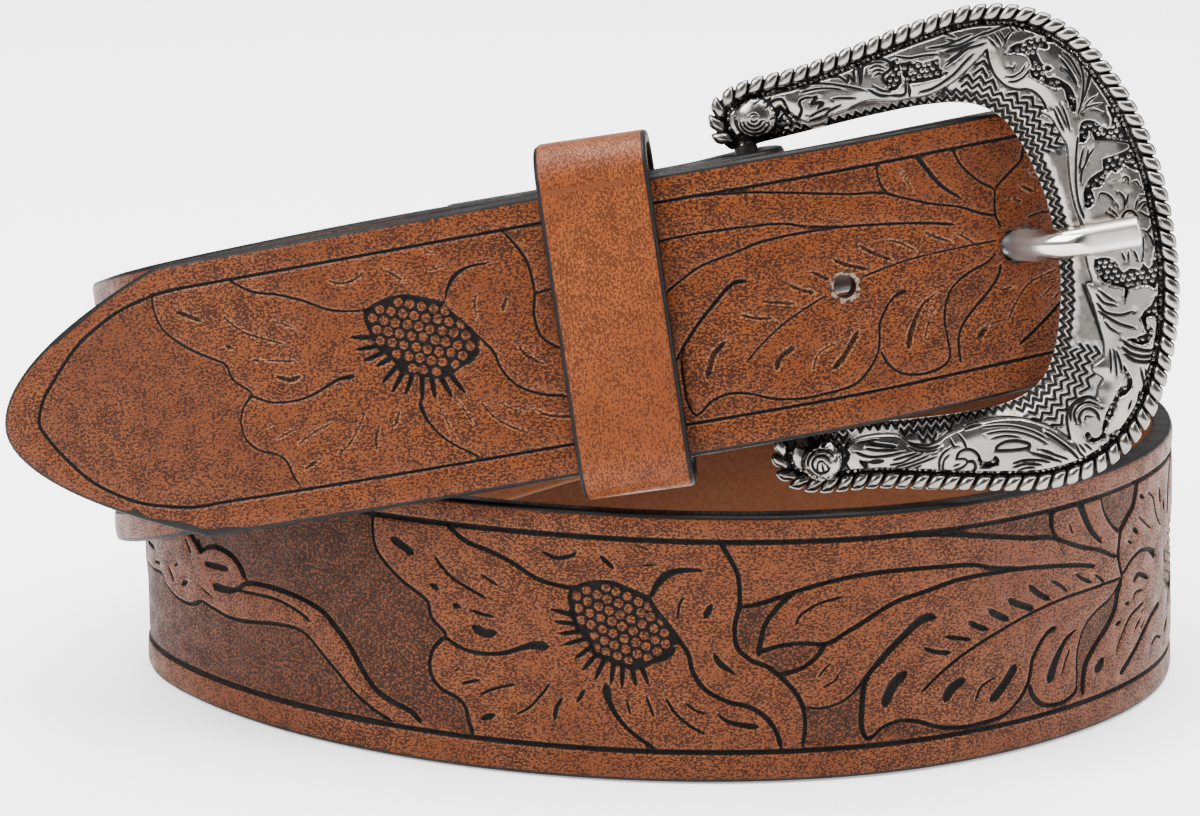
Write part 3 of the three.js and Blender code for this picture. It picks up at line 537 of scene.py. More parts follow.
print("a 5 mm cut has", len(stroke(LINE, [(0, 0), (5, 0)])), "rows")

# %% What lies where


def inside(points, polygon):
    """Which points lie in a polygon, by counting the sides that a level line crosses."""
    x, y = points[:, 0], points[:, 1]
    result = np.zeros(len(points), bool)
    for (x0, y0), (x1, y1) in zip(polygon, np.roll(polygon, -1, axis=0)):
        crosses = (y0 > y) != (y1 > y)
        with np.errstate(divide="ignore", invalid="ignore"):
            at = x0 + (y - y0) * (x1 - x0) / (y1 - y0)
        result ^= crosses & (x < at)
    return result


# cuts are looked up in bins along the strap, in batches that fit in memory
BIN = 8
WIDEST_CUT = 1.5
BATCH = 2000000


def gap_to(points, strokes, reach=NEAR):
    """Signed distance from each point to the nearest cut: negative inside it."""
    gap = np.full(len(points), float(reach))
    if not strokes:
        return gap
    starts = np.vstack([path[:-1] for path in strokes])
    ends = np.vstack([path[1:] for path in strokes])
    order = np.argsort(starts[:, 0])
    starts, ends = starts[order], ends[order]
    bins = np.floor(points[:, 0] / BIN).astype(int)
    longest = np.abs(ends[:, 0] - starts[:, 0]).max() + reach + WIDEST_CUT
    for place in np.unique(bins):
        mine = np.flatnonzero(bins == place)
        low = np.searchsorted(starts[:, 0], place * BIN - longest)
        high = np.searchsorted(starts[:, 0], place * BIN + BIN + longest)
        if high <= low:
            continue
        a, b = starts[low:high], ends[low:high]
        along = b[:, :2] - a[:, :2]
        size = np.maximum((along**2).sum(1), 1e-9)
        for part in np.array_split(mine, max(1, len(mine) * (high - low) // BATCH + 1)):
            away = points[part, None, :2] - a[None, :, :2]
            t = np.clip((away * along).sum(2) / size, 0, 1)
            far = np.hypot(*np.moveaxis(away - t[..., None] * along, 2, 0))
            half = a[:, 2] + t * (b[:, 2] - a[:, 2])
            gap[part] = np.minimum(gap[part], (far - half).min(1))
    return gap


def nearest_spot(points, spots, batches):
    """Distance from each point to the nearest bead."""
    nearest = np.full(len(points), 9.0)
    for part in np.array_split(np.arange(len(points)), batches):
        away = points[part, None] - spots[None]
        nearest[part] = np.hypot(away[..., 0], away[..., 1]).min(1)
    return nearest


print("gaps are measured up to", NEAR, "mm")

# %% A sheet of triangles
MERGE = 0.13


def merged(points, size=MERGE):
    """One point for each little cell, so that no sliver triangles come out."""
    cells = np.round(points / size).astype(np.int64)
    _, first = np.unique(cells, axis=0, return_index=True)
    return points[np.sort(first)]


def sheet(outline, holes, points, clear=0.3):
    """Triangles of a flat sheet through these points, with its outline and holes as edges."""
    loops = [outline, *holes]
    keep = inside(points, outline)
    keep &= gap_to(points, [closed(loop) for loop in loops]) > clear
    for hole in holes:
        keep &= ~inside(points, hole)
    points = merged(points[keep])
    vertices = np.vstack([*loops, points])
    edges, starts = [], []
    for loop in loops:
        starts.append(len(edges))
        ring = np.arange(len(loop)) + len(edges)
        edges += list(zip(ring.tolist(), np.roll(ring, -1).tolist()))
    made = delaunay_2d_cdt([Vector(v) for v in vertices.tolist()], edges, [], 0, 1e-5)
    flat = np.array([tuple(v) for v in made[0]])
    faces = np.array([face for face in made[2] if len(face) == 3])
    middles = flat[faces].mean(1)
    real = inside(middles, outline)
    for hole in holes:
        real &= ~inside(middles, hole)
    became = np.zeros(len(vertices), int)
    for i, origins in enumerate(made[3]):
        became[origins] = i
    rings = [became[np.arange(len(loop)) + at] for loop, at in zip(loops, starts)]
    flat[became] = vertices
    return flat, faces[real], rings


print("points closer than", MERGE, "mm become one")

# %% A mesh that is built up
SAME_PLACE = 2e-6


def strips(first, second):
    """Quads between two rings of equal count."""
    other, beside = np.roll(first, -1), np.roll(second, -1)
    quads = np.stack([first, other, beside, second], -1)
    return [tuple(map(int, quad)) for quad in quads]


def ring_strips(rings):
    """Quads between each ring and the next."""
    return [quad for low, high in zip(rings, rings[1:]) for quad in strips(low, high)]


class Build:
    """Collects vertices, faces and named values of one mesh."""

    def __init__(self, *names):
        self.rows, self.faces, self.values = [], [], {name: [] for name in names}
        self.flat, self.count = [], 0

    def add(self, points, faces, flat, **values):
        points = np.asarray(points)
        self.rows.append(points)
        self.faces += [tuple(int(i) + self.count for i in face) for face in faces]
        self.flat.append(np.broadcast_to(flat, (len(points), 2)))
        for name, column in self.values.items():
            column.append(np.broadcast_to(values.get(name, 0.0), len(points)))
        start = self.count
        self.count += len(points)
        return start

    def add_ring(self, points, flat, last=None, **values):
        """Points of one ring, with quads back to the ring before it."""
        ring = np.arange(len(points)) + self.add(points, [], flat, **values)
        if last is not None:
            self.faces += strips(last, ring)
        return ring

    def finish(self, name, to_world):
        points = to_world(np.vstack(self.rows))
        mesh = bpy.data.meshes.new(name)
        mesh.from_pydata(points.tolist(), [], self.faces)
        mesh.validate()
        loops = np.empty(len(mesh.loops), np.int32)
        mesh.loops.foreach_get("vertex_index", loops)
        flat = np.vstack(self.flat)[loops] * MM
        layer = mesh.uv_layers.new(name="flat")
        layer.data.foreach_set("uv", flat.astype(np.float32).ravel())
        for key, columns in self.values.items():
            layer = mesh.attributes.new(key, "FLOAT", "POINT")
            layer.data.foreach_set("value", np.concatenate(columns).astype(np.float32))
        mesh.polygons.foreach_set("use_smooth", [True] * len(mesh.polygons))
        tidy = bmesh.new()
        tidy.from_mesh(mesh)
        bmesh.ops.remove_doubles(tidy, verts=tidy.verts, dist=SAME_PLACE)
        bmesh.ops.recalc_face_normals(tidy, faces=tidy.faces)
        tidy.to_mesh(mesh)
        tidy.free()
        thing = bpy.data.objects.new(name, mesh)
        bpy.context.scene.collection.objects.link(thing)
        print(f"{name}: {len(mesh.polygons)} faces")
        return thing

# %% [markdown]
# ## Laying the pattern along the strap
#
# The maker rolled the same stamp along the strap again and again, so the pattern repeats every
# 211 mm. The pointed end has its own arch instead of the first stem. Cuts stop short of the
# holes, because the punch tore the leather there.

# %% Hole outlines
HOLE_MARGIN = 1.1
LAST_TOOLED = ROUTE_LENGTH - 8


def circle(centre, radius, count):
    turn = np.arange(count) * 2 * math.pi / count
    return np.column_stack([centre[0] + radius * np.cos(turn), centre[1] + radius * np.sin(turn)])


def oval(low, high, middle, half, count):
    """A slot with round ends, from low to high along the strap."""
    turn = np.linspace(-math.pi / 2, math.pi / 2, count)
    far = np.column_stack([high - half + half * np.cos(turn), middle + half * np.sin(turn)])
    near = np.column_stack([low + half - half * np.cos(turn), middle - half * np.sin(turn)])
    return np.vstack([far, near])


hole_centres = [(u, MIDDLE) for u in SPARE_HOLES]
bore_centres = [(ROUTE_LENGTH - d, MIDDLE) for d in RIVETS_FROM_BAR]
bore_centres += [(ROUTE_LENGTH + FOLD_LENGTH + d, MIDDLE) for d in RIVETS_FROM_BAR]
slot_from = ROUTE_LENGTH - FOLD_SLOT["reach"]
slot_to = ROUTE_LENGTH + FOLD_LENGTH + FOLD_SLOT["reach"]
prong_slot = [PRONG_HOLE[key] for key in ("from", "to", "height", "half")]


def hole_loops(grow, deep=0.0):
    """Every hole's outline, grown by so much, at a depth below the face."""
    loops = [circle(centre, HOLE_RADIUS + grow, 20) for centre in hole_centres]
    low, high, middle, half = prong_slot
    low += (PRONG_HOLE["inner_from"] - low) * deep / THICKNESS
    loops.append(oval(low - grow, high + grow, middle, half + grow, 11))
    loops.append(oval(slot_from, slot_to, MIDDLE, FOLD_SLOT["half"] + grow, 9))
    loops += [circle(centre, RIVET_BORE + grow, 16) for centre in bore_centres]
    return loops


print(len(hole_loops(0)), "openings in the strap")

# %% Placing cuts


def charted(left, width, *squares):
    points = [(left + x / SQUARES, PAPER_TOP - y / SQUARES) for x, y in pairs(squares)]
    return width, points


def moved(points, by):
    return [(x + by, y) for x, y in points]


def clear_of_holes(path):
    """The parts of a cut that don't run into a hole."""
    far = np.full(len(path), np.inf)
    for centre in hole_centres:
        away = np.hypot(path[:, 0] - centre[0], path[:, 1] - centre[1])
        far = np.minimum(far, away - HOLE_RADIUS)
    low, high, middle, half = prong_slot
    nearest = np.clip(path[:, 0], low + half, high - half)
    far = np.minimum(far, np.hypot(path[:, 0] - nearest, path[:, 1] - middle) - half)
    return runs_where(path, far > HOLE_MARGIN)


marks = [charted(left, *mark) for left, sheet_marks in MARK_SHEETS.items() for mark in sheet_marks]
print(len(marks), "marks placed")

# %% A flower's middle
BEAD_JITTER = 0.05
BEAD_MARGIN = 0.35
RAY_WIDTHS = [0.75, 0.7, 0.45]
RAY_LENGTH, RAY_EXTRA, RAY_JITTER = 2.7, 0.7, 0.12
RAY_PITCH = 1.3


def flower_beads(field, centre):
    """Beads in rows, each a little out of line, where they fit in the flower's middle."""
    turn = math.radians(BEAD_TURN)
    grid = np.arange(-9, 10)
    i, j = [axis.ravel() for axis in np.meshgrid(grid, grid)]
    x, y = (i + j / 2) * BEAD_PITCH, j * BEAD_PITCH * math.sqrt(3) / 2
    at = np.column_stack([x * math.cos(turn) - y * math.sin(turn),
                          x * math.sin(turn) + y * math.cos(turn)])
    at = at + centre + rng.normal(0, BEAD_JITTER, at.shape)
    return at[inside(at, field) & (gap_to(at, [closed(field)], 5) > BEAD_MARGIN)]


def flower_rays(field, centre, start, end):
    """Short tapering cuts that stand round the flower's middle like stamens."""
    ring = smooth_path(np.vstack([field, field[:1]]), RAY_PITCH)
    away = ring - centre
    angle = np.degrees(np.arctan2(away[:, 1], away[:, 0])) % 360
    rays = []
    for point, out_way, at in zip(ring, unit(away), angle):
        if start < at < end:
            size = RAY_LENGTH + rng.random() * RAY_EXTRA
            tip = point + out_way * size + rng.normal(0, RAY_JITTER, 2)
            rays.append(stroke(RAY_WIDTHS, [point, (point + tip) / 2, tip], 0.5))
    return rays


ax, ay = FIRST_MIDDLE
bx, by = SECOND_MIDDLE
first_field = np.array(pairs(FLOWER_FIELD))
# the second flower is the first one turned over
second_field = np.array([(bx - (x - ax), by + (y - ay)) for x, y in first_field])[::-1]
# outline and middle of each flower, and the angles between which its rays stand
FLOWERS = [(first_field, FIRST_MIDDLE, (165, 300)), (second_field, SECOND_MIDDLE, (240, 375))]
print(len(FLOWERS), "flowers in a repeat")

# %% Every cut on the strap
strokes, mark_strokes, bead_fields, beads, grounds = [], [], [], [], []
for period in range(5):
    start = REPEAT_START + REPEAT * period
    on_tongue = period == 0
    figures = [(False, width, pairs(row)) for width, *row in SCROLL_STROKES]
    figures += [(on_tongue, *figure) for figure in marks]
    if not on_tongue:
        figures += [(False, width, pairs(row)) for width, *row in STEM_STROKES]
    for is_mark, width, points in figures:
        if on_tongue and max(x for x, _ in points) < STEM_END:
            continue
        width = np.asarray(width) * (TONGUE_LINE if on_tongue else 1)
        path = stroke(width, moved(points, start))
        if path[:, 0].max() < LAST_TOOLED:
            parts = clear_of_holes(path)
            strokes += parts
            mark_strokes += parts if is_mark else []
    for field, centre, rays in FLOWERS:
        field = field + (start, 0)
        centre = np.array(centre) + (start, 0)
        if field[:, 0].max() < LAST_TOOLED:
            bead_fields.append(field)
            beads.append(flower_beads(field, centre))
            strokes += flower_rays(field, centre, *rays)
    for polygon in GROUNDS + ([] if on_tongue else STEM_GROUNDS):
        grounds.append(np.array(moved(pairs(polygon), start)))
grounds.append(np.array(TIP_ARCH + PETAL_SIDE))
beads = np.vstack(beads)
border_runs = [(BORDER["from"], TONGUE_END, BORDER["tongue width"]),
               (TONGUE_END, LAST_TOOLED, BORDER["width"])]
for height in (BORDER["low"], BORDER["high"]):
    for low, high, width in border_runs:
        strokes.append(stroke(width, [(low, height), (high, height)], BORDER_STEP))
strokes.append(stroke(TONGUE_LINE, TIP_ARCH))
print(len(strokes), "cuts,", len(beads), "beads")

# %% [markdown]
# ## The strap
#
# The face is the tooled sheet, bent along the route. Its edges are rounded and painted, its
# inner side is a plain sheet, and each hole has its own wall. Simply thickening a bent plane
# would give sharp edges and lose the worn holes.

# %% Strap outline
TIP = {"at": 4.4, "length": 28.5, "low power": 0.55, "high power": 0.5}
EDGE_STEP = 1.3
# how the edge rounds over: distance in from the edge, depth below the face
EDGE_PROFILE = [(0.5, 0.0), (0.15, 0.15), (0.0, 0.5), (0.0, 2.5), (0.15, 2.85), (0.5, 3.0)]
HOLE_PROFILE = [(0.2, 0.0), (0.0, 0.35), (0.0, 2.8), (0.15, 3.0)]


def tip_edge(power, side):
    """Half of the pointed end, from its point to where the strap has its full width."""
    share = np.linspace(0, 1, 30)
    return np.column_stack([TIP["at"] + TIP["length"] * share ** (1 / power),
                            MIDDLE + side * MIDDLE * share])


def even_line(rows, step=EDGE_STEP):
    run = path_run(rows)
    even = np.linspace(0, run[-1], int(round(run[-1] / step)) + 1)
    return np.stack([np.interp(even, run, rows[:, k]) for k in range(2)], -1)


def strap_edge():
    """The strap's real outline, once round from the point."""
    low = tip_edge(TIP["low power"], -1)
    high = tip_edge(TIP["high power"], 1)[::-1]
    corners = [(STRAP_END, 0.0), (STRAP_END, WIDTH)]
    sides = [np.vstack([low, corners[:1]]), np.array(corners), np.vstack([corners[1:], high])]
    return np.vstack([even_line(side)[:-1] for side in sides])


def inward(loop):
    """Unit normals of a loop that point into it, for a loop that runs anticlockwise."""
    ahead = unit(np.roll(loop, -1, axis=0) - np.roll(loop, 1, axis=0))
    return np.column_stack([-ahead[:, 1], ahead[:, 0]])


edge = strap_edge()
edge_in = inward(edge)
print(len(edge), "points round the strap")

# %% Points of the face
GRID = 1.7
GRID_CLEAR = 0.25
HOLE_RINGS = (0.5, 0.9, 1.3)
# each bead has eight points round it, and the ground between beads has its corners
BEAD_SIDES = 8
face_edge = edge + edge_in * EDGE_PROFILE[0][0]
grid = np.stack(np.meshgrid(np.arange(5, STRAP_END, GRID), np.arange(1.2, WIDTH - 1, GRID)), -1)
grid = grid.reshape(-1, 2)


def direction(turn):
    return np.array([math.cos(turn), math.sin(turn)])


# where two points share a cell the first one stays, so the cuts' own points come first
cut_points, beside_points = zip(*[stroke_points(path) for path in strokes])
cloud = [*cut_points, beads]
cloud += [beads + BEAD_RADIUS * direction(k * 2 * math.pi / BEAD_SIDES) for k in range(BEAD_SIDES)]
cloud += [loop for grow in HOLE_RINGS for loop in hole_loops(grow)]
for k in range(6):
    turn = math.radians(BEAD_TURN + 30 + 60 * k)
    cloud.append(beads + BEAD_PITCH / math.sqrt(3) * direction(turn))
    cloud.append(beads + BEAD_PITCH / 2 * direction(turn + math.pi / 6))
cloud += [*beside_points, grid[gap_to(grid, strokes) > SHOULDER + GRID_CLEAR]]
flat, faces, rings = sheet(face_edge, hole_loops(HOLE_PROFILE[0][0]), np.vstack(cloud))
print(len(flat), "points and", len(faces), "triangles on the face")

# %% What each point is near
gap = gap_to(flat, strokes)
in_field = np.zeros(len(flat), bool)
for field in bead_fields:
    near = np.abs(flat[:, 0] - field[:, 0].mean()) < 12
    in_field[near] |= inside(flat[near], field)
bead_gap = np.full(len(flat), NEAR)
bead_gap[in_field] = BEAD_RADIUS - nearest_spot(flat[in_field], beads, 40)
cut = np.where(in_field, np.minimum(bead_gap, np.maximum(gap, -0.4)), gap)
ground = np.zeros(len(flat))
for polygon in grounds:
    near = (flat[:, 0] > polygon[:, 0].min() - 1) & (flat[:, 0] < polygon[:, 0].max() + 1)
    ground[near] = np.maximum(ground[near], inside(flat[near], polygon))
ground = ground * np.where(flat[:, 0] < TONGUE_END, TONGUE_GROUND, 1.0)
print(int((gap < 0).sum()), "points in cuts,", int(in_field.sum()), "in the flowers' middles")

# %% How deep each point lies
CUT_SLOPE, CUT_DEEPEST = 1.25, 0.45
GROUND_DEPTH = 0.28
# the leather between two cuts stands up like a pillow, over this distance
PILLOW, PILLOW_REACH = 0.12, 1.2
# the flowers' middles: depth at a bead's edge, slope of the bead, highest and lowest
BEAD_LEVEL, BEAD_SLOPE, BEAD_TOP, BEAD_FLOOR = 0.30, 0.32, 0.02, 0.38
HOLE_DIP = 0.12
depth = np.minimum(CUT_DEEPEST, CUT_SLOPE * np.maximum(0, -gap))
bead_depth = BEAD_LEVEL - BEAD_SLOPE * (bead_gap + 0.2)
depth = np.where(in_field, np.clip(bead_depth, BEAD_TOP, BEAD_FLOOR), depth)
depth = depth - PILLOW * np.clip(gap / PILLOW_REACH, 0, 1) * ~in_field
depth = depth + GROUND_DEPTH * ground * (gap > -0.1)
depth[rings[0]] = 0
for ring in rings[1:]:
    depth[ring] = HOLE_DIP
print(f"depth from {depth.min():.2f} to {depth.max():.2f} mm")

# %% Where the paint ran and the holes frayed
# black edge paint ran over the rim at the pointed end: places along the low edge, then how far
DRIP_AT = [21.5, 22.8, 24.2, 26.0, 29.0, 33.0, 36.8, 38.0]
DRIP_REACH = [0, 0.9, 0, 0.25, 0.75, 0.45, 0.6, 0]
HIGH_DRIP_AT, HIGH_DRIP_REACH = [6, 10, 20, 26], [0, 0.3, 0.35, 0]
LOW_BAND, HIGH_BAND = 8, 30
# the prong's metal keeps its own hole smooth, so it frays less
SMOOTH_HOLE = {"after": 3, "reach": 8, "by": 1.5}
rim_gap = gap_to(flat, [closed(edge)], 3)
drips = np.interp(flat[:, 0], DRIP_AT, DRIP_REACH) * (flat[:, 1] < LOW_BAND)
over = np.interp(flat[:, 0], HIGH_DRIP_AT, HIGH_DRIP_REACH) * (flat[:, 1] > HIGH_BAND)
rim_gap = rim_gap - drips - over
punched = hole_loops(0)[: len(hole_centres) + 1]
hole_gap = gap_to(flat, [closed(loop) for loop in punched], 3)
near_prong = np.abs(flat[:, 0] - PRONG_HOLE["from"] - SMOOTH_HOLE["after"]) < SMOOTH_HOLE["reach"]
hole_gap[near_prong] += SMOOTH_HOLE["by"]
# small marks on the tongue took less paint
ink = np.where(gap_to(flat, mark_strokes) < gap + 0.01, TONGUE_MARK_INK, 1.0)
ink = np.where((gap < 0.5) & ~in_field, ink, 1.0)
print(int((ink < 1).sum()), "points with paler paint")

# %% Face and edge
strap_build = Build("cut", "ground", "rim", "ink", "fray", "inner")
strap_build.add(on_strap(flat, depth), faces, flat, cut=cut, ground=ground, rim=rim_gap, ink=ink,
                fray=hole_gap, inner=0.0)
last = rings[0]
for inset, deep in EDGE_PROFILE[1:]:
    loop = edge + edge_in * inset
    on_back = 1.0 if deep == THICKNESS else 0.0
    last = strap_build.add_ring(on_strap(loop, np.full(len(loop), deep)), loop, last, cut=NEAR,
                                rim=on_back, fray=3.0, inner=on_back)
print(strap_build.count, "points with the edge")

# %% Inner side
BACK_STEP = (4.5, 4.25)
# rows of points beside the edge, where the paint on the inner side ends
BACK_ROWS = (1.1, 1.7)
back_grid = np.stack(np.meshgrid(np.arange(6, STRAP_END, BACK_STEP[0]),
                                 np.arange(2, WIDTH, BACK_STEP[1])), -1)
back_grid = np.vstack([back_grid.reshape(-1, 2), *[edge + edge_in * row for row in BACK_ROWS]])
back_edge = edge + edge_in * EDGE_PROFILE[-1][0]
back_flat, back_faces, back_rings = sheet(back_edge, hole_loops(*HOLE_PROFILE[-1]), back_grid, 0.4)
back_rim = gap_to(back_flat, [closed(edge)], 5)
at = strap_build.add(on_strap(back_flat, np.full(len(back_flat), THICKNESS)), back_faces,
                     back_flat, cut=NEAR, rim=back_rim + 0.5, fray=3.0, inner=1.0)
print(len(back_faces), "triangles on the inner side")

# %% Hole walls
for number, (front_ring, back_ring) in enumerate(zip(rings[1:], back_rings[1:])):
    last = front_ring
    for grow, deep in HOLE_PROFILE[1:-1]:
        loop = hole_loops(grow, deep)[number]
        last = strap_build.add_ring(on_strap(loop, np.full(len(loop), deep)), loop, last,
                                    cut=NEAR, rim=3.0, fray=-0.3, inner=0.0)
    strap_build.faces += strips(last, back_ring + at)
print(strap_build.count, "points in the strap")

# %% [markdown]
# ## Where the flat drawings stand
#
# The CAD part was moved so that its base sits at the origin. Its strap box says by how much, and
# every millimetre point goes through the same move on its way into the scene.

# %% Shift to the frame
own_points = np.vstack([on_strap(edge, np.full(len(edge), deep)) for deep in (0.0, THICKNESS)])
cad_low, cad_high = [np.array(corner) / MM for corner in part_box("strap")]
own_low, own_high = own_points.min(0), own_points.max(0)
SHIFT = np.array([(cad_low[0] + cad_high[0] - own_low[0] - own_high[0]) / 2,
                  (cad_low[1] + cad_high[1] - own_low[1] - own_high[1]) / 2,
                  cad_low[2] - own_low[2]])
print("shift:", np.round(SHIFT, 3), "own size:", np.round(own_high - own_low, 2),
      "CAD size:", np.round(cad_high - cad_low, 2))


def to_frame(points):
    return (points + SHIFT) * MM


strap = strap_build.finish("tooled_strap", to_frame)

# %% [markdown]
# ## The keeper
#
# The keeper is a loop of the same leather with a rounded fold at its top and bottom and painted
# edges. It is made as a band that goes once round, a few degrees off square, as the strap pulls
# it. A bent box would show hard corners where the real one bulges.

# %% Keeper measures
KEEPER = {"at": 94.4, "middle": 20.0, "width": 15.0, "thickness": 2.0, "height": 48.0}
KEEPER_TILT = math.radians(1.9)
KEEPER_FRONT, KEEPER_BACK, KEEPER_BEND = 0.5, 12.4, 5.6
KEEPER_STEP = 0.6
# the band's grain is read far from the strap's, so that the two don't match
KEEPER_GRAIN_AT = 1000
KEEPER_PROFILE = [(0.55, 0.0), (0.18, 0.16), (0.0, 0.5), (0.0, 1.5), (0.18, 1.84), (0.55, 2.0)]


def keeper_path():
    """The outer face of the band, once round: out from the strap's face, and height."""
    low, high = -KEEPER_BACK - KEEPER["thickness"], KEEPER_FRONT + KEEPER["thickness"]
    half, bend = KEEPER["height"] / 2, KEEPER_BEND
    corners = [(high - bend, half - bend, 0), (low + bend, half - bend, 90),
               (low + bend, -half + bend, 180), (high - bend, -half + bend, 270)]
    points = []
    for x, y, start in corners:
        turn = np.radians(np.linspace(start, start + 90, 14))
        points.append(np.column_stack([x + bend * np.cos(turn), y + bend * np.sin(turn)]))
    ring = np.vstack(points + [points[0][:1]])
    return even_line(ring, KEEPER_STEP)[:-1]


def keeper_section():
    """The band's cross-section, once round: place across the band, depth below its face."""
    half = KEEPER["width"] / 2
    section = [(-half + inset, deep) for inset, deep in KEEPER_PROFILE[:3][::-1]]
    section += [(place, 0.0) for place in np.linspace(-half + 1.1, half - 1.1, 18)]
    section += [(half - inset, deep) for inset, deep in KEEPER_PROFILE]
    section += [(place, 2.0) for place in np.linspace(half - 1.5, -half + 1.5, 7)]
    section += [(-half + inset, deep) for inset, deep in KEEPER_PROFILE[:2:-1]]
    return section


print(len(keeper_path()), "points round the keeper,", len(keeper_section()), "across it")

# %% Keeper


def make_keeper():
    foot, up, face = [row[0] for row in along_route([KEEPER["at"]])]
    across_axis = up * math.cos(KEEPER_TILT) - np.cross(face, up) * math.sin(KEEPER_TILT)
    along_axis = np.cross(across_axis, face)
    centre = foot + up * KEEPER["middle"]
    ring = keeper_path()
    normal = -inward(ring)
    run = np.arange(len(ring)) * KEEPER_STEP
    half = KEEPER["width"] / 2
    build = Build("rim", "inner", "cut", "fray", "ink", "ground")
    rings = []
    for place, deep in keeper_section():
        body = ring - normal * deep
        points = centre + body[:, :1] * face + body[:, 1:] * across_axis + place * along_axis
        on_face, on_back = deep < 0.4, deep > 1.9
        rim = min(half - abs(place), 3.0) if on_face else 0.0
        rim = half - abs(place) if on_back else rim
        drawing = np.column_stack([run + KEEPER_GRAIN_AT, np.full(len(run), place)])
        rings.append(build.add_ring(points, drawing, rim=rim, inner=float(on_back), cut=NEAR,
                                    fray=3.0))
    build.faces += ring_strips(rings + rings[:1])
    return build.finish("keeper_loop", to_frame)


keeper = make_keeper()

# %% [markdown]
# ## The buckle's own axes
#
# The buckle turns a little on its bar, so it has its own frame: along the strap, across it, and
# out towards the viewer. Its ornament was charted flat in that frame as well.

# %% Buckle axes
BUCKLE_YAW = math.radians(12.5)
BAR_AT = 6.5
BAR_RADIUS = 1.6
bar_foot = line[-1] - out[-1] * FOLD_RADIUS
buckle_along = heading[-1] * math.cos(BUCKLE_YAW) + out[-1] * math.sin(BUCKLE_YAW)
buckle_across = across[-1]
buckle_out = unit(np.cross(buckle_along, buckle_across))
buckle_origin = bar_foot + buckle_across * MIDDLE - buckle_along * BAR_AT


def on_buckle(points):
    """Points given along, across and out of the buckle become places in the scene's frame."""
    points = np.asarray(points, float)
    axes = np.array([buckle_along, buckle_across, buckle_out])
    return to_frame(buckle_origin + points @ axes)


print("buckle's corner at", np.round(buckle_origin, 1))

# %% [markdown]
# ## The buckle's ornament
#
# The casting is one raised field of scrolls on a sunken ground. The ground is blackened and
# crossed by zigzag ribs, the gaps between the leaves hold bright beads, and the leaves carry
# engraved veins. All of it is charted on squared paper, thirty-eight squares to a millimetre, in
# four sheets: the upper and lower arm, and the upper and lower half of the front.

# %% Buckle's outline and rope
# outer edge and window edge of half the frame: along, across, along, across
FRAME_ROWS = [
    (8.3, 28.6, 8.3, 19.8), (16.0, 29.2, 16.0, 20.3), (24.0, 30.7, 24.0, 20.8),
    (32.0, 32.2, 31.0, 20.9), (40.0, 32.9, 36.5, 20.2), (47.5, 31.0, 40.3, 18.0),
    (53.5, 26.0, 42.6, 14.0), (57.8, 18.0, 44.1, 9.0), (60.2, 9.0, 44.9, 4.2),
    (60.8, 0.0, 45.0, 0.0),
]
ROPE_START = [(4.3, 20.5), (3.5, 22.2), (3.5, 24.0), (4.5, 26.0)]
ROPE_INSET = 1.15
ROPE_PITCH = 2.05
print(len(FRAME_ROWS), "places on half the frame")

# %% Edge of the raised field
FINE = 38
# each sheet: where its corner lies on the buckle
SHEETS = {"upper arm": (0, 36), "lower arm": (0, -16), "upper front": (34, 36),
          "lower front": (34, 4)}
# the window side of the raised field: right and down, in turns
FIELD_EDGES = {
    "upper arm": [
        470, 440, 520, 500, 600, 555, 700, 538, 800, 525, 870, 505, 930, 500, 1000, 515, 1060, 525,
         1120, 522, 1180, 525, 1250, 515, 1320, 490,
    ],
    "upper front": [
        90, 460, 158, 415, 215, 375, 252, 350, 250, 400, 262, 470, 285, 515, 320, 552, 370, 575,
         410, 580, 450, 605, 478, 650, 492, 690, 455, 700, 500, 735, 525, 790, 540, 835, 560, 900,
         552, 1000, 545, 1100, 550, 1200, 565, 1290, 575, 1368,
    ],
    "lower front": [
        568, 152, 560, 230, 562, 300, 570, 380, 535, 385, 548, 450, 560, 540, 570, 640, 575, 700,
         558, 770, 505, 800, 495, 830, 530, 862, 542, 880, 510, 920, 490, 968, 440, 968, 375, 985,
         335, 1030, 325, 1100, 328, 1165, 290, 1130, 230, 1080, 160, 1040, 80, 1010,
    ],
    "lower arm": [
        1292, 238, 1200, 238, 1100, 252, 1000, 278, 960, 300, 900, 318, 850, 308, 790, 280, 750,
         242, 680, 226, 600, 222, 520, 232, 480, 270, 460, 330,
    ],
}
FIELD_ORDER = ["upper arm", "upper front", "lower front", "lower arm"]
print(sum(map(len, FIELD_EDGES.values())) // 2, "places along the field")

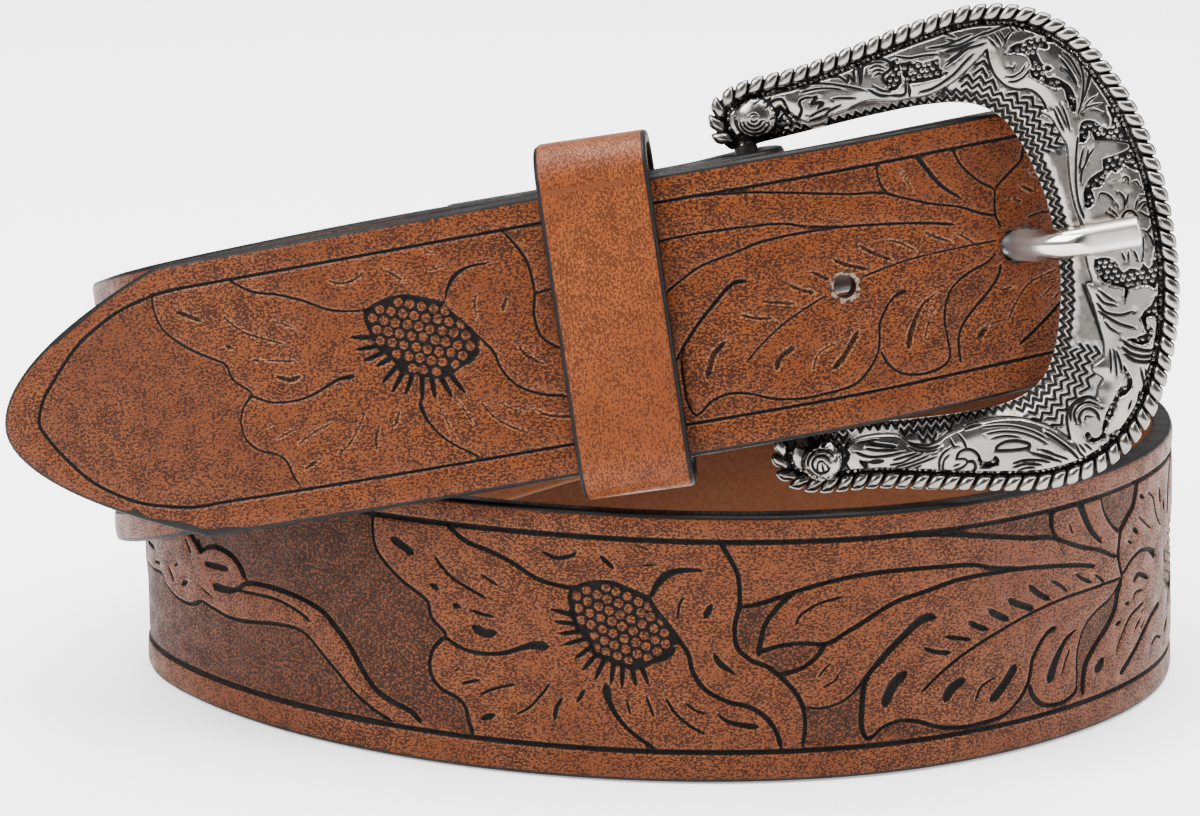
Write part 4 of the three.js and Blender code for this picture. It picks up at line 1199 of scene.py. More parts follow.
# %% Black gaps between the leaves
GAPS = {
    "upper front": [
        [345, 385, 360, 360, 400, 345, 435, 348, 450, 335, 500, 335, 560, 345, 600, 370, 575, 375,
         545, 366, 557, 388, 545, 405, 515, 395, 500, 385, 488, 410, 495, 440, 510, 475, 555, 495,
         545, 510, 512, 508, 520, 545, 570, 550, 595, 570, 625, 600, 640, 640, 645, 690, 627, 740,
         605, 720, 600, 670, 598, 622, 582, 598, 560, 605, 530, 592, 508, 570, 480, 550, 445, 528,
         440, 500, 455, 470, 450, 430, 420, 400, 390, 392],
        [625, 890, 630, 830, 650, 790, 690, 785, 720, 800, 745, 830, 770, 850, 790, 840, 800, 800,
         790, 760, 785, 735, 810, 740, 835, 765, 845, 800, 835, 840, 850, 880, 880, 895, 905, 880,
         915, 903, 870, 925, 800, 905, 730, 892, 698, 888, 690, 850, 680, 838, 668, 880, 645, 897],
        [595, 1220, 600, 1140, 640, 1080, 700, 1050, 720, 1045, 715, 1020, 725, 995, 790, 990, 860,
         975, 875, 945, 880, 925, 915, 930, 945, 1000, 950, 1080, 935, 1140, 900, 1150, 902, 1090,
         870, 1075, 845, 1060, 820, 1035, 800, 1062, 775, 1075, 755, 1055, 725, 1080, 712, 1110,
         690, 1130, 640, 1130, 655, 1190, 620, 1225],
        [680, 428, 700, 418, 722, 440, 737, 470, 746, 500, 727, 540, 715, 520, 722, 480, 705, 455,
         700, 490, 690, 500, 684, 460],
    ],
    "lower front": [
        [598, 270, 640, 262, 690, 280, 705, 300, 715, 345, 735, 362, 765, 340, 790, 352, 810, 362,
         835, 330, 855, 362, 880, 345, 895, 280, 930, 268, 950, 330, 955, 400, 935, 435, 895, 430,
         870, 470, 840, 445, 790, 440, 745, 448, 730, 480, 712, 512, 722, 440, 660, 412, 622, 390,
         600, 345, 590, 300],
        [775, 600, 800, 565, 840, 548, 868, 500, 882, 520, 880, 590, 905, 640, 885, 660, 860, 640,
         842, 605, 805, 602, 800, 640, 830, 665, 825, 700, 800, 735, 760, 742, 720, 720, 690, 692,
         735, 702, 772, 686, 795, 690, 785, 650],
        [655, 820, 672, 860, 687, 910, 674, 950, 640, 980, 605, 985, 592, 1010, 572, 1040, 562,
         1072, 532, 1100, 505, 1140, 500, 1155, 525, 1168, 580, 1145, 618, 1142, 600, 1168, 560,
         1188, 490, 1182, 440, 1198, 405, 1178, 402, 1142, 428, 1132, 428, 1160, 455, 1176, 485,
         1160, 505, 1105, 520, 1060, 542, 1028, 580, 988, 600, 950, 632, 930, 655, 932, 660, 900,
         648, 860],
    ],
    "upper arm": [
        [1105, 340, 1170, 335, 1210, 360, 1300, 350, 1290, 400, 1340, 430, 1290, 450, 1200, 455,
         1125, 450, 1105, 400],
        [1010, 440, 1020, 400, 1060, 370, 1062, 320, 1100, 310, 1100, 400, 1095, 440, 1060, 470,
         1030, 470],
        [445, 505, 500, 470, 480, 410, 510, 480, 545, 520, 560, 530, 500, 545, 460, 560],
    ],
    "lower arm": [
        [450, 240, 500, 290, 470, 330, 480, 400, 430, 415, 440, 330],
        [530, 330, 560, 345, 585, 345, 570, 370, 610, 400, 595, 412, 555, 390],
        [1150, 400, 1160, 440, 1205, 445, 1230, 415, 1250, 455, 1215, 480, 1150, 465, 1135, 430],
    ],
}
print(sum(map(len, GAPS.values())), "gaps charted")

# %% Engraved lines
# width in millimetres, then right and down, in turns
VEINS = {
    "upper front": [
        (0.4, 600, 455, 625, 500, 650, 560, 660, 605),
        (0.4, 618, 430, 650, 470, 670, 520, 685, 570), (0.35, 605, 505, 635, 545, 655, 600),
        (0.35, 600, 310, 640, 370, 670, 430, 690, 500, 698, 560, 690, 620, 665, 700),
        (0.35, 495, 290, 540, 300, 580, 320, 610, 350, 645, 410),
        (0.35, 640, 750, 665, 700, 700, 640, 720, 580, 738, 545),
        (0.3, 680, 715, 710, 690, 745, 675), (0.3, 660, 740, 700, 720, 760, 715),
        (0.3, 715, 735, 760, 760), (0.35, 790, 660, 795, 700), (0.35, 818, 655, 828, 700),
        (0.65, 762, 620, 800, 614, 842, 630), (0.35, 765, 505, 770, 550, 800, 548),
        (0.35, 755, 600, 785, 582, 825, 578), (0.35, 745, 545, 722, 600, 702, 640),
        (0.35, 850, 790, 843, 845, 865, 888, 895, 882, 912, 840, 905, 790, 885, 745, 850, 712),
        (0.3, 868, 800, 862, 845), (0.3, 884, 795, 885, 850), (0.35, 852, 705, 880, 735),
        (0.35, 545, 690, 560, 740, 575, 800), (0.35, 570, 690, 582, 750, 588, 815),
        (0.35, 528, 700, 542, 760, 560, 820), (0.35, 328, 500, 360, 505, 400, 490, 427, 460),
        (0.35, 328, 527, 370, 530, 415, 512, 440, 485), (0.35, 345, 452, 362, 468, 378, 448),
        (0.4, 252, 345, 250, 400, 263, 470, 285, 513, 320, 552, 370, 575, 410, 580, 450, 605, 478,
         650, 495, 700), (0.4, 380, 258, 402, 288), (0.4, 403, 254, 424, 288),
        (0.4, 425, 252, 445, 292), (0.4, 272, 300, 298, 342), (0.4, 298, 280, 322, 335),
        (0.4, 328, 275, 345, 318), (0.35, 340, 345, 362, 305, 392, 282),
        (0.4, 240, 275, 300, 262, 360, 252, 430, 248, 500, 255, 560, 275, 620, 318),
        (0.35, 40, 300, 120, 300, 180, 285, 262, 262), (0.35, 40, 322, 130, 312, 205, 298),
        (0.35, 30, 395, 95, 365, 160, 330, 255, 315), (0.35, 60, 375, 125, 340, 190, 318),
        (0.35, 60, 262, 112, 282),
        (0.35, 620, 860, 600, 940, 588, 1000, 575, 1080, 570, 1180, 585, 1270),
        (0.35, 662, 930, 640, 990, 610, 1040, 598, 1090), (0.35, 690, 930, 650, 975, 632, 1010),
        (0.35, 640, 920, 615, 980, 600, 1030),
        (0.35, 700, 890, 760, 900, 820, 918, 862, 935, 868, 960, 840, 975, 780, 988, 722, 995),
        (0.35, 675, 1175, 682, 1160, 708, 1165, 730, 1185, 745, 1210),
        (0.4, 770, 1322, 772, 1295, 790, 1275, 812, 1270, 832, 1282, 844, 1310, 842, 1345),
        (0.35, 708, 1268, 732, 1290), (0.35, 727, 1252, 748, 1284), (0.35, 762, 1245, 758, 1226),
        (0.35, 775, 1165, 795, 1200, 790, 1255), (0.35, 820, 1185, 800, 1238),
        (0.35, 862, 1218, 842, 1260), (0.35, 750, 1112, 764, 1106),
        (0.35, 803, 1106, 818, 1096, 832, 1108, 832, 1126),
        (0.35, 850, 1130, 870, 1132, 880, 1162),
        (0.4, 895, 1182, 925, 1165, 930, 1190, 905, 1212, 880, 1205),
        (0.4, 868, 1272, 900, 1252, 908, 1272, 942, 1302, 920, 1326, 890, 1312, 858, 1282),
        (0.35, 850, 1262, 880, 1240, 905, 1242),
    ],
    "lower front": [
        (0.35, 862, 160, 880, 175, 905, 150), (0.35, 880, 185, 902, 160),
        (0.35, 915, 140, 935, 175, 940, 150), (0.4, 855, 200, 850, 240),
        (0.4, 880, 180, 893, 210, 900, 252), (0.35, 740, 258, 750, 300),
        (0.35, 772, 258, 765, 300), (0.35, 800, 255, 812, 300), (0.35, 845, 265, 836, 305),
        (0.35, 580, 440, 610, 490, 668, 516), (0.35, 600, 428, 640, 472, 665, 490),
        (0.4, 578, 490, 610, 540, 680, 566, 745, 560),
        (0.4, 575, 530, 620, 570, 670, 610, 740, 645), (0.35, 600, 590, 620, 625, 652, 652),
        (0.5, 672, 697, 700, 730, 760, 762, 812, 775),
        (0.55, 665, 732, 700, 770, 760, 796, 816, 800),
        (0.5, 670, 767, 710, 806, 770, 826, 812, 825), (0.4, 848, 735, 866, 772),
        (0.4, 865, 728, 882, 760),
        (0.4, 905, 485, 882, 505, 870, 540, 880, 590, 905, 616, 938, 600, 952, 550, 938, 500, 905,
         485), (0.35, 907, 530, 907, 582), (0.35, 924, 535, 920, 580),
        (0.8, 795, 858, 840, 845, 882, 828), (0.4, 760, 870, 800, 888, 850, 882),
        (0.4, 765, 885, 792, 912, 815, 955), (0.4, 735, 855, 738, 920, 742, 1000, 732, 1050),
        (0.35, 757, 862, 757, 950, 748, 1020), (0.35, 772, 965, 766, 1020),
        (0.4, 710, 970, 690, 1040), (0.4, 692, 1050, 665, 1110), (0.4, 662, 1010, 640, 1052),
        (0.4, 630, 745, 640, 800, 640, 850), (0.35, 600, 730, 595, 790, 585, 850),
        (0.35, 618, 735, 618, 800, 612, 870),
        (0.45, 395, 1085, 390, 1050, 415, 1020, 450, 1015, 480, 1040, 490, 1080),
        (0.4, 373, 1080, 368, 1030, 400, 993, 450, 984, 500, 1010),
        (0.4, 346, 1060, 354, 1012, 394, 970, 450, 960, 500, 986),
        (0.35, 415, 1072, 425, 1052, 452, 1056),
        (0.4, 327, 1165, 324, 1100, 333, 1030, 373, 984, 440, 967),
        (0.4, 350, 1185, 362, 1232, 382, 1260), (0.4, 370, 1190, 392, 1236),
        (0.4, 395, 1190, 425, 1228), (0.4, 455, 1250, 475, 1215),
        (0.35, 520, 382, 530, 440, 545, 520, 560, 600, 572, 700),
        (0.4, 170, 1182, 230, 1218, 298, 1256), (0.4, 120, 1190, 180, 1225, 262, 1262),
        (0.4, 20, 1235, 80, 1225, 150, 1236, 205, 1258), (0.4, 20, 1255, 90, 1245, 160, 1262),
        (0.5, 205, 1100, 260, 1150, 320, 1215, 350, 1265),
    ],
    "upper arm": [
        (0.45, 395, 440, 440, 410, 485, 410, 498, 450, 510, 490, 548, 518, 575, 480, 570, 440, 600,
         425, 640, 428), (0.4, 345, 408, 372, 395), (0.4, 392, 412, 432, 392),
        (0.4, 580, 360, 660, 362, 740, 378, 820, 405, 905, 440),
        (0.35, 585, 395, 660, 390, 740, 400, 800, 420), (0.35, 580, 378, 640, 372),
        (0.35, 600, 545, 680, 535, 712, 512, 775, 492), (0.35, 605, 525, 660, 505, 720, 495),
        (0.35, 740, 452, 790, 458, 850, 470), (0.35, 808, 520, 850, 508, 900, 496),
        (0.5, 640, 428, 665, 430, 628, 460, 690, 462, 655, 490),
        (0.45, 735, 345, 790, 350, 828, 385, 840, 350, 862, 390, 868, 335, 880, 330),
        (0.6, 893, 325, 898, 370, 890, 410),
        (0.5, 900, 375, 920, 320, 980, 295, 1045, 315, 1055, 355, 1010, 385, 1010, 425),
        (0.35, 935, 320, 985, 312, 1028, 325), (0.35, 945, 340, 985, 330, 1025, 345),
        (0.35, 955, 360, 985, 350, 1020, 362), (0.4, 965, 380, 990, 370, 1010, 378),
        (0.4, 925, 438, 975, 478, 1025, 490), (0.35, 960, 430, 990, 455, 1030, 470),
        (0.5, 1128, 455, 1128, 480, 1122, 512), (0.4, 1030, 490, 1100, 495, 1115, 430),
        (0.4, 1175, 498, 1240, 492, 1300, 470, 1360, 440, 1420, 395, 1470, 360),
        (0.4, 1090, 300, 1150, 320, 1230, 322, 1300, 328),
        (0.4, 1255, 290, 1330, 292, 1400, 280, 1480, 262), (0.35, 1340, 330, 1400, 325, 1460, 312),
        (0.35, 1340, 372, 1400, 345, 1440, 330), (0.4, 1300, 225, 1350, 235, 1400, 262),
        (0.4, 300, 395, 330, 375, 400, 360, 480, 352, 560, 345),
        (0.5, 905, 335, 880, 300, 900, 275, 960, 262, 1010, 258),
    ],
    "lower arm": [
        (0.4, 530, 285, 570, 310, 620, 325, 700, 330, 775, 325),
        (0.6, 600, 250, 660, 270, 740, 292), (0.4, 585, 275, 650, 295, 740, 308),
        (0.35, 540, 240, 600, 240, 650, 238), (0.4, 800, 282, 840, 312, 900, 330, 965, 322),
        (0.35, 800, 305, 850, 335, 910, 345, 950, 342), (0.4, 710, 358, 770, 350, 835, 342),
        (0.35, 690, 382, 750, 380, 800, 365, 870, 350),
        (0.35, 715, 400, 790, 388, 850, 375, 900, 362),
        (0.35, 725, 418, 800, 405, 870, 390, 935, 375), (0.35, 700, 438, 780, 430, 850, 410),
        (0.7, 590, 350, 625, 352, 660, 355), (0.4, 1015, 290, 1032, 338, 1050, 340),
        (0.4, 1060, 275, 1085, 320, 1092, 360),
        (0.45, 1030, 405, 1050, 375, 1085, 362, 1120, 370, 1145, 400, 1150, 430),
        (0.35, 1030, 405, 1070, 408, 1095, 430), (0.4, 1015, 342, 970, 365, 945, 400, 935, 450),
        (0.35, 1000, 375, 970, 400, 955, 440, 955, 470),
        (0.5, 1080, 430, 1115, 430, 1118, 470, 1080, 490, 1010, 478),
        (0.4, 1000, 465, 1050, 455, 1085, 435), (0.4, 1010, 440, 1045, 432),
        (0.35, 1190, 265, 1280, 270, 1360, 288, 1440, 325, 1500, 370),
        (0.35, 1205, 300, 1290, 300, 1380, 322, 1450, 360, 1500, 400),
        (0.35, 1230, 328, 1300, 325, 1370, 345),
        (0.5, 1235, 395, 1250, 372, 1300, 355, 1360, 362, 1410, 385, 1400, 405, 1330, 405, 1270,
         398, 1235, 395), (0.35, 1415, 395, 1405, 420),
        (0.35, 1315, 470, 1370, 468, 1440, 478, 1500, 498),
        (0.35, 1310, 492, 1370, 488, 1450, 505), (0.35, 1330, 515, 1380, 508, 1420, 515),
        (0.35, 1415, 435, 1470, 455, 1520, 480), (0.35, 1470, 425, 1520, 450),
        (0.4, 470, 345, 480, 400, 460, 410), (0.45, 1100, 262, 1140, 255, 1190, 250),
        (0.35, 1140, 470, 1190, 475, 1240, 470),
    ],
}
print(sum(map(len, VEINS.values())), "lines charted")

# %% Studs
STUDS = [(8.8, 23.4), (9.2, -24.2)]
STUD_RADIUS = 2.55
# arcs cut into each stud: radius, from and to angle in degrees, width
STUD_ARCS = {0: [(2.1, 190, 330, 0.4), (1.55, 185, 330, 0.4), (1.0, 190, 335, 0.4),
                 (0.45, 180, 340, 0.35), (0.7, 30, 140, 0.35)],
             1: [(1.9, 20, 180, 0.4), (1.25, 10, 330, 0.4), (0.5, 0, 200, 0.3)]}
STUD_BARS = [(0.35, [(8.6, -24.2), (8.5, -25.4)]), (0.35, [(9.3, -24.1), (9.3, -25.5)]),
             (0.35, [(9.9, -24.2), (10.1, -25.2)]), (0.4, [(8.2, -26.4), (9.0, -27.8)]),
             (0.4, [(9.2, -26.2), (9.9, -27.4)])]
print(len(STUDS), "studs")

# %% [markdown]
# ## Casting the buckle
#
# The front is one sheet between the rope and the window, raised or sunk point by point: recess,
# field, gaps, engraving, zigzag ground and the bevel down to the window. Carving the scrolls as
# separate solids would leave seams that a casting doesn't have. Sides and back are plain walls.

# %% Buckle outlines
OUTLINE_STEP = 0.5
BODY_BEHIND_ROPE = 0.45
RECESS_TO = 1.75
ARM_FOOT = [(4.5, 19.62), (6.2, 19.6), (7.6, 19.62)]


def from_sheet(name, squares):
    left, top = SHEETS[name]
    return [(left + x / FINE, top - y / FINE) for x, y in pairs(squares)]


def mirrored(rows):
    return rows + [(p, -q) for p, q in rows[-2::-1]]


def anticlockwise(loop):
    x, y = loop[:, 0], loop[:, 1]
    area = (x * np.roll(y, -1) - np.roll(x, -1) * y).sum()
    return loop if area > 0 else loop[::-1]


edge_rows = [(a, b) for a, b, _, _ in FRAME_ROWS]
window_rows = [(c, d) for _, _, c, d in FRAME_ROWS]
window_edge = smooth_path(mirrored(window_rows), OUTLINE_STEP)
inset_rows = []
for (a, b), (c, d) in zip(edge_rows, window_rows):
    share = ROPE_INSET / math.hypot(a - c, b - d)
    inset_rows.append((a + (c - a) * share, b + (d - b) * share))
rope_line = smooth_path(mirrored(ROPE_START + inset_rows), 0.4)
body_edge = rope_line + side_of(rope_line) * BODY_BEHIND_ROPE
low_foot = [(p, -q) for p, q in ARM_FOOT]
face_loop = np.vstack([body_edge, low_foot, window_edge[::-1], ARM_FOOT[::-1], body_edge[:1]])
face_loop = anticlockwise(even_line(face_loop, OUTLINE_STEP)[:-1])
print("window edge", len(window_edge), "rope", len(rope_line))

# %% Raised field and gaps
field_side = [point for name in FIELD_ORDER for point in from_sheet(name, FIELD_EDGES[name])]
field_side = smooth_path(field_side, 0.35)
recess_side = rope_line - side_of(rope_line) * RECESS_TO
field_zone = np.vstack([field_side, recess_side[::-1]])
gaps = [np.array(from_sheet(name, zone)) for name, zones in GAPS.items() for zone in zones]
print(len(gaps), "black gaps")

# %% Zigzag ground
ZIGZAG = {"pitch": 1.2, "swing": 0.4, "row": 1.02, "first": 0.5, "width": 0.46, "rows": 7}
ZIGZAG_JITTER = 0.06
# beside the middle of the window, the ground beyond the first rows is smooth, and painted dark
# there as a painted reflection of the leather
BAND_FROM, BAND_ACROSS = 2.5, 13.0
FIELD_CLEAR, ROPE_CLEAR = 0.25, 2.0


def outward(path):
    """Sides of a path along the window edge, towards the rope."""
    middle = len(window_edge) // 2
    to_window = window_edge[middle] - rope_line[len(rope_line) // 2]
    return side_of(path) * -np.sign((side_of(window_edge)[middle] * to_window).sum())


def zigzag_row(offset):
    """A zigzag rib beside the window edge, kept where the sunken ground shows it."""
    base = smooth_path(window_edge, ZIGZAG["pitch"] / 2)
    base = base + outward(base) * offset
    swing = np.where(np.arange(len(base)) % 2, 1, -1)[:, None] * ZIGZAG["swing"]
    path = base + side_of(base) * (swing + rng.normal(0, ZIGZAG_JITTER, (len(base), 1)))
    good = ~inside(path, field_zone) & (gap_to(path, [no_width(field_side)], 9) > FIELD_CLEAR)
    good &= inside(path, face_loop) & (gap_to(path, [no_width(rope_line)], 9) > ROPE_CLEAR)
    good &= ~((offset > BAND_FROM) & (np.abs(path[:, 1] + 1) < BAND_ACROSS))
    return runs_where(path, good)


def straight(width, path):
    """A cut with sharp corners, for the zigzags."""
    rows = np.vstack([path[:1]] + [np.linspace(a, b, 4)[1:] for a, b in zip(path, path[1:])])
    return np.column_stack([rows, np.full(len(rows), width / 2)])


# a fine zigzag also crosses the upper arm
UPPER_ZIGZAG = {"from": (28.5, 29.3), "step": (0.52, 0.055), "swing": 0.33, "width": 0.3,
                "corners": 34}


def upper_zigzag():
    (x, y), (along, up) = UPPER_ZIGZAG["from"], UPPER_ZIGZAG["step"]
    swing = UPPER_ZIGZAG["swing"]
    corners = [(x + along * i, y + up * i + (swing if i % 2 else -swing))
               for i in range(UPPER_ZIGZAG["corners"])]
    return straight(UPPER_ZIGZAG["width"], np.array(corners))


print("zigzag rows", ZIGZAG["row"], "mm apart")

# %% Engraved lines
FINE_STEP = 0.28
BOLD = 1.05


def stud_arc(number, radius, start, stop, width):
    turn = np.radians(np.linspace(start, stop, 12))
    x, y = STUDS[number]
    return stroke(width, np.column_stack([x + radius * np.cos(turn), y + radius * np.sin(turn)]),
                  FINE_STEP)


buckle_cuts = [stroke(np.asarray(width) * BOLD, from_sheet(name, squares), FINE_STEP)
               for name, rows in VEINS.items() for width, *squares in rows]
zigzags = [straight(ZIGZAG["width"], part) for row in range(ZIGZAG["rows"])
           for part in zigzag_row(ZIGZAG["first"] + row * ZIGZAG["row"])]
zigzags.append(upper_zigzag())
buckle_cuts += [stud_arc(number, *arc) for number, arcs in STUD_ARCS.items() for arc in arcs]
buckle_cuts += [stroke(width, points, FINE_STEP) for width, points in STUD_BARS]
print(len(buckle_cuts), "engraved lines,", len(zigzags), "zigzag runs")

# %% Beads in the gaps
BEAD_SIZE = 0.27
BEAD_COLUMN, BEAD_ROW, BEAD_STAGGER = 0.84, 0.73, 0.42
GAP_BEAD_JITTER, ROPE_BEAD_JITTER = 0.07, 0.05
GAP_BEAD_MARGIN = 0.16
ROPE_BEAD_INSET, ROPE_BEAD_PITCH = 1.45, 0.75


def square_grid(low, high, wide, tall):
    return np.stack(np.meshgrid(np.arange(low[0], high[0], wide),
                                np.arange(low[1], high[1], tall)), -1)


def gap_beads():
    """Bright beads in the black gaps and in the recess beside the rope."""
    found = []
    for zone in gaps:
        grid = square_grid(zone.min(0), zone.max(0), BEAD_COLUMN, BEAD_ROW)
        grid[1::2, :, 0] += BEAD_STAGGER
        spots = grid.reshape(-1, 2) + rng.normal(0, GAP_BEAD_JITTER, (grid.size // 2, 2))
        clear = gap_to(spots, [closed(zone)], 5) > GAP_BEAD_MARGIN
        found.append(spots[inside(spots, zone) & clear])
    recess = smooth_path(rope_line - side_of(rope_line) * ROPE_BEAD_INSET, ROPE_BEAD_PITCH)
    found.append((recess + rng.normal(0, ROPE_BEAD_JITTER, recess.shape))[2:-2])
    return np.vstack(found)


bead_spots = gap_beads()
print(len(bead_spots), "beads on the buckle")

# %% Points of the casting's front
FACE_GRID = 0.5
FINE_MERGE = 0.085
STUD_RINGS = (0.6, 1.2, 1.8, 2.2, STUD_RADIUS - 0.06, STUD_RADIUS + 0.12)
ROPE_ROWS = (1.25, 1.6, 1.88)
ZONE_ROWS = (-0.34, -0.16, 0.0, 0.16, 0.34)
cuts = buckle_cuts + zigzags
grid = square_grid(face_loop.min(0), face_loop.max(0), FACE_GRID, FACE_GRID).reshape(-1, 2)
grid = grid[gap_to(grid, cuts) > 0.3]
cloud = [grid, bead_spots]
for path in cuts:
    side = side_of(path)
    cloud.append(path[:, :2])
    cloud += [path[:, :2] + sign * side * (path[:, 2:3] + reach)
              for sign in (-1, 1) for reach in (0.0, 0.14)]
for zone in gaps + [field_zone]:
    ring = smooth_path(np.vstack([zone, zone[:1]]), 0.3)
    cloud += [ring + side_of(ring) * reach for reach in ZONE_ROWS]
for k in range(6):
    way = direction(k * math.pi / 3)
    cloud += [bead_spots + BEAD_SIZE * way, bead_spots + 1.5 * BEAD_SIZE * way]
cloud += [circle(at, radius, 30) for at in STUDS for radius in STUD_RINGS]
cloud += [rope_line - side_of(rope_line) * reach for reach in ROPE_ROWS]
flat, faces, rings = sheet(face_loop, [], merged(np.vstack(cloud), FINE_MERGE), 0.12)
print(len(flat), "points and", len(faces), "triangles on the front")

# %% What each point of the front is near
rope_gap = gap_to(flat, [no_width(rope_line)], 12)
window_gap = gap_to(flat, [no_width(window_edge)], 12)
line_gap = gap_to(flat, buckle_cuts)
rib_gap = gap_to(flat, zigzags)
in_zone = inside(flat, field_zone)
# distance into the raised field, negative outside it
signed = gap_to(flat, [closed(field_zone)], 3) * np.where(in_zone, 1, -1)
in_gap = np.any([inside(flat, zone) for zone in gaps], axis=0)
# distance to the nearest black gap or to the recess beside the rope, negative inside them
zone_gap = rope_gap - 1.72
for zone in gaps:
    far = gap_to(flat, [closed(zone)], 3)
    zone_gap = np.minimum(zone_gap, np.where(inside(flat, zone), -far, far))
bead_near = nearest_spot(flat, bead_spots, 60)
stud_gap = np.min([np.hypot(*(flat - at).T) for at in STUDS], axis=0)
on_stud = stud_gap < STUD_RADIUS
print(int((zone_gap < 0).sum()), "points in the gaps and the recess")

# %% How high each point stands
BACK_LEVEL = -1.7
RECESS_LEVEL, FIELD_LEVEL, GROUND_LEVEL, LIP_LEVEL, GAP_LEVEL = 0.3, 2.0, 1.35, -0.5, 1.15
BEVEL, BEVEL_POWER = 2.6, 0.8
CROWN, CROWN_REACH = 0.28, 1.6
ENGRAVE_SLOPE, ENGRAVE_DEEPEST = 1.4, 0.32
BEAD_HEIGHT = 0.38
STUD_FOOT, STUD_RISE = 2.4, 1.3


def lerp(a, b, share):
    return a + (b - a) * share


ground_level = lerp(LIP_LEVEL, GROUND_LEVEL, ease(window_gap, 0, BEVEL) ** BEVEL_POWER)
crown = FIELD_LEVEL + CROWN * ease(signed, 0, CROWN_REACH)
level_up = lerp(ground_level, crown, ease(signed, -0.08, 0.12))
level_up = np.where(in_gap, GAP_LEVEL, level_up)
level_up = lerp(RECESS_LEVEL, level_up, ease(rope_gap, 1.6, 1.85))
dome = 1 - (stud_gap / (STUD_RADIUS + 0.15)) ** 2
level_up = np.where(on_stud, STUD_FOOT + STUD_RISE * np.sqrt(np.clip(dome, 0, 1)), level_up)
# the zigzags show only on the sunken ground
cut = np.where(~in_zone & ~in_gap, np.minimum(line_gap, rib_gap), line_gap)
level_up = level_up - np.minimum(ENGRAVE_DEEPEST, ENGRAVE_SLOPE * np.maximum(0, -cut))
bead_up = BEAD_HEIGHT * ease(BEAD_SIZE - bead_near, -0.02, BEAD_SIZE)
level_up = level_up + np.where(zone_gap < 0, bead_up, 0)
print(f"front from {level_up.min():.2f} to {level_up.max():.2f} mm")

# %% Where the black stays
# in every cut, round the beads, round the studs and along the raised field
cut = np.minimum(cut, np.abs(signed + 0.10) - 0.12)
cut = np.where(zone_gap < 0, np.maximum(zone_gap, BEAD_SIZE - bead_near), np.minimum(cut, zone_gap))
cut = np.where(rope_gap < ROPE_INSET, -0.2 * ROPE_INSET, cut)
stud_ring = np.abs(stud_gap - STUD_RADIUS - 0.2) - 0.2
cut = np.where(on_stud, line_gap, np.minimum(cut, stud_ring))
# painted reflection: the smooth band beside the window's middle is darkened as the leather it would
# mirror; the ground is also darker towards the window's lip, and the field a little darker at its
# edges
trough = (window_gap > BAND_FROM) & (signed < 0) & (np.abs(flat[:, 1] + 1) < BAND_ACROSS)
dark = 0.62 * trough + 0.3 * ease(window_gap, 1.2, 0.2) * ~in_zone
dark = np.maximum(dark, 0.12 * ease(-signed, -0.9, 0.0) * in_zone * (level_up > 1))
print(int((cut < 0).sum()), "black points")

# %% Casting's front, sides and back
SIDE_PROFILE = [(0.0, RECESS_LEVEL - 1.0, 0.45), (0.25, BACK_LEVEL + 0.35, 0.45),
                (0.6, BACK_LEVEL, 0.15)]
BACK_DARK = 0.15
build = Build("cut", "dark")
build.add(np.column_stack([flat, level_up]), faces, flat, cut=cut, dark=dark)
last = rings[0]
inset = inward(face_loop)
for grow, deep, darkness in SIDE_PROFILE:
    loop = face_loop + inset * grow
    points = np.column_stack([loop, np.full(len(loop), deep)])
    last = build.add_ring(points, loop, last, cut=1.0, dark=darkness)
back_flat, back_faces, back_rings = sheet(loop, [], grid[::3], 0.5)
start = build.add(np.column_stack([back_flat, np.full(len(back_flat), BACK_LEVEL)]), back_faces,
                  back_flat, cut=1.0, dark=BACK_DARK)
build.faces += strips(last, back_rings[0] + start)
print(build.count, "points in the casting")

# %% [markdown]
# ## The rope, the bar and the prong
#
# The roped border is a row of slanted rounded blocks, each leaning forward like the strands of a
# twisted cord. A real twist would show its strands' ends at this size as these same blocks.

# %% Rope
STRAND = {"long": 0.98, "wide": 1.1, "tall": 1.05, "level": 0.95, "slant": 0.58}
# how square a strand's plan and its side view are: 1 is round
PLAN_POWER, SIDE_POWER = 0.55, 0.8
STRAND_SIDES, STRAND_LEVELS = 14, 8


def squared(value, power):
    return np.sign(value) * np.abs(value) ** power


def rope_strands():
    step = smooth_path(rope_line, 0.05)
    run = path_run(step)
    count = int(round(run[-1] / ROPE_PITCH))
    side = side_of(step)
    ahead = np.column_stack([side[:, 1], -side[:, 0]])
    turn = np.linspace(0, 2 * math.pi, STRAND_SIDES + 1)[:-1]
    rise = np.linspace(-math.pi / 2, math.pi / 2, STRAND_LEVELS)
    turn, rise = [axis.ravel() for axis in np.meshgrid(turn, rise)]
    a = squared(np.cos(rise), PLAN_POWER) * squared(np.cos(turn), PLAN_POWER)
    b = squared(np.cos(rise), PLAN_POWER) * squared(np.sin(turn), PLAN_POWER)
    tall = squared(np.sin(rise), SIDE_POWER) * STRAND["tall"]
    quads = ring_strips(np.arange(len(turn)).reshape(STRAND_LEVELS, STRAND_SIDES))
    black = (0.80 - np.abs(a)) * STRAND["long"]
    shade = np.maximum(0.4 * ease(b, 0.2, 0.9), 0.9 * ease(-tall, -0.2, 0.5))
    for number in range(count):
        at = np.searchsorted(run, (number + 0.5) * run[-1] / count)
        size = rng.normal(1, 0.03)
        forward = a * STRAND["long"] * size + b * STRAND["wide"] * STRAND["slant"]
        points = step[at] + forward[:, None] * ahead[at] + (b * STRAND["wide"])[:, None] * side[at]
        build.add(np.column_stack([points, tall + STRAND["level"]]), quads, points,
                  cut=black, dark=shade)
    return count


print(rope_strands(), "strands in the rope")

# %% Bar
BAR_HALF = 20.0
# a softened end: distance in from the end, share of the radius
BAR_END = [(0, 0.0), (0, 0.7), (0.15, 0.93), (0.4, 1)]


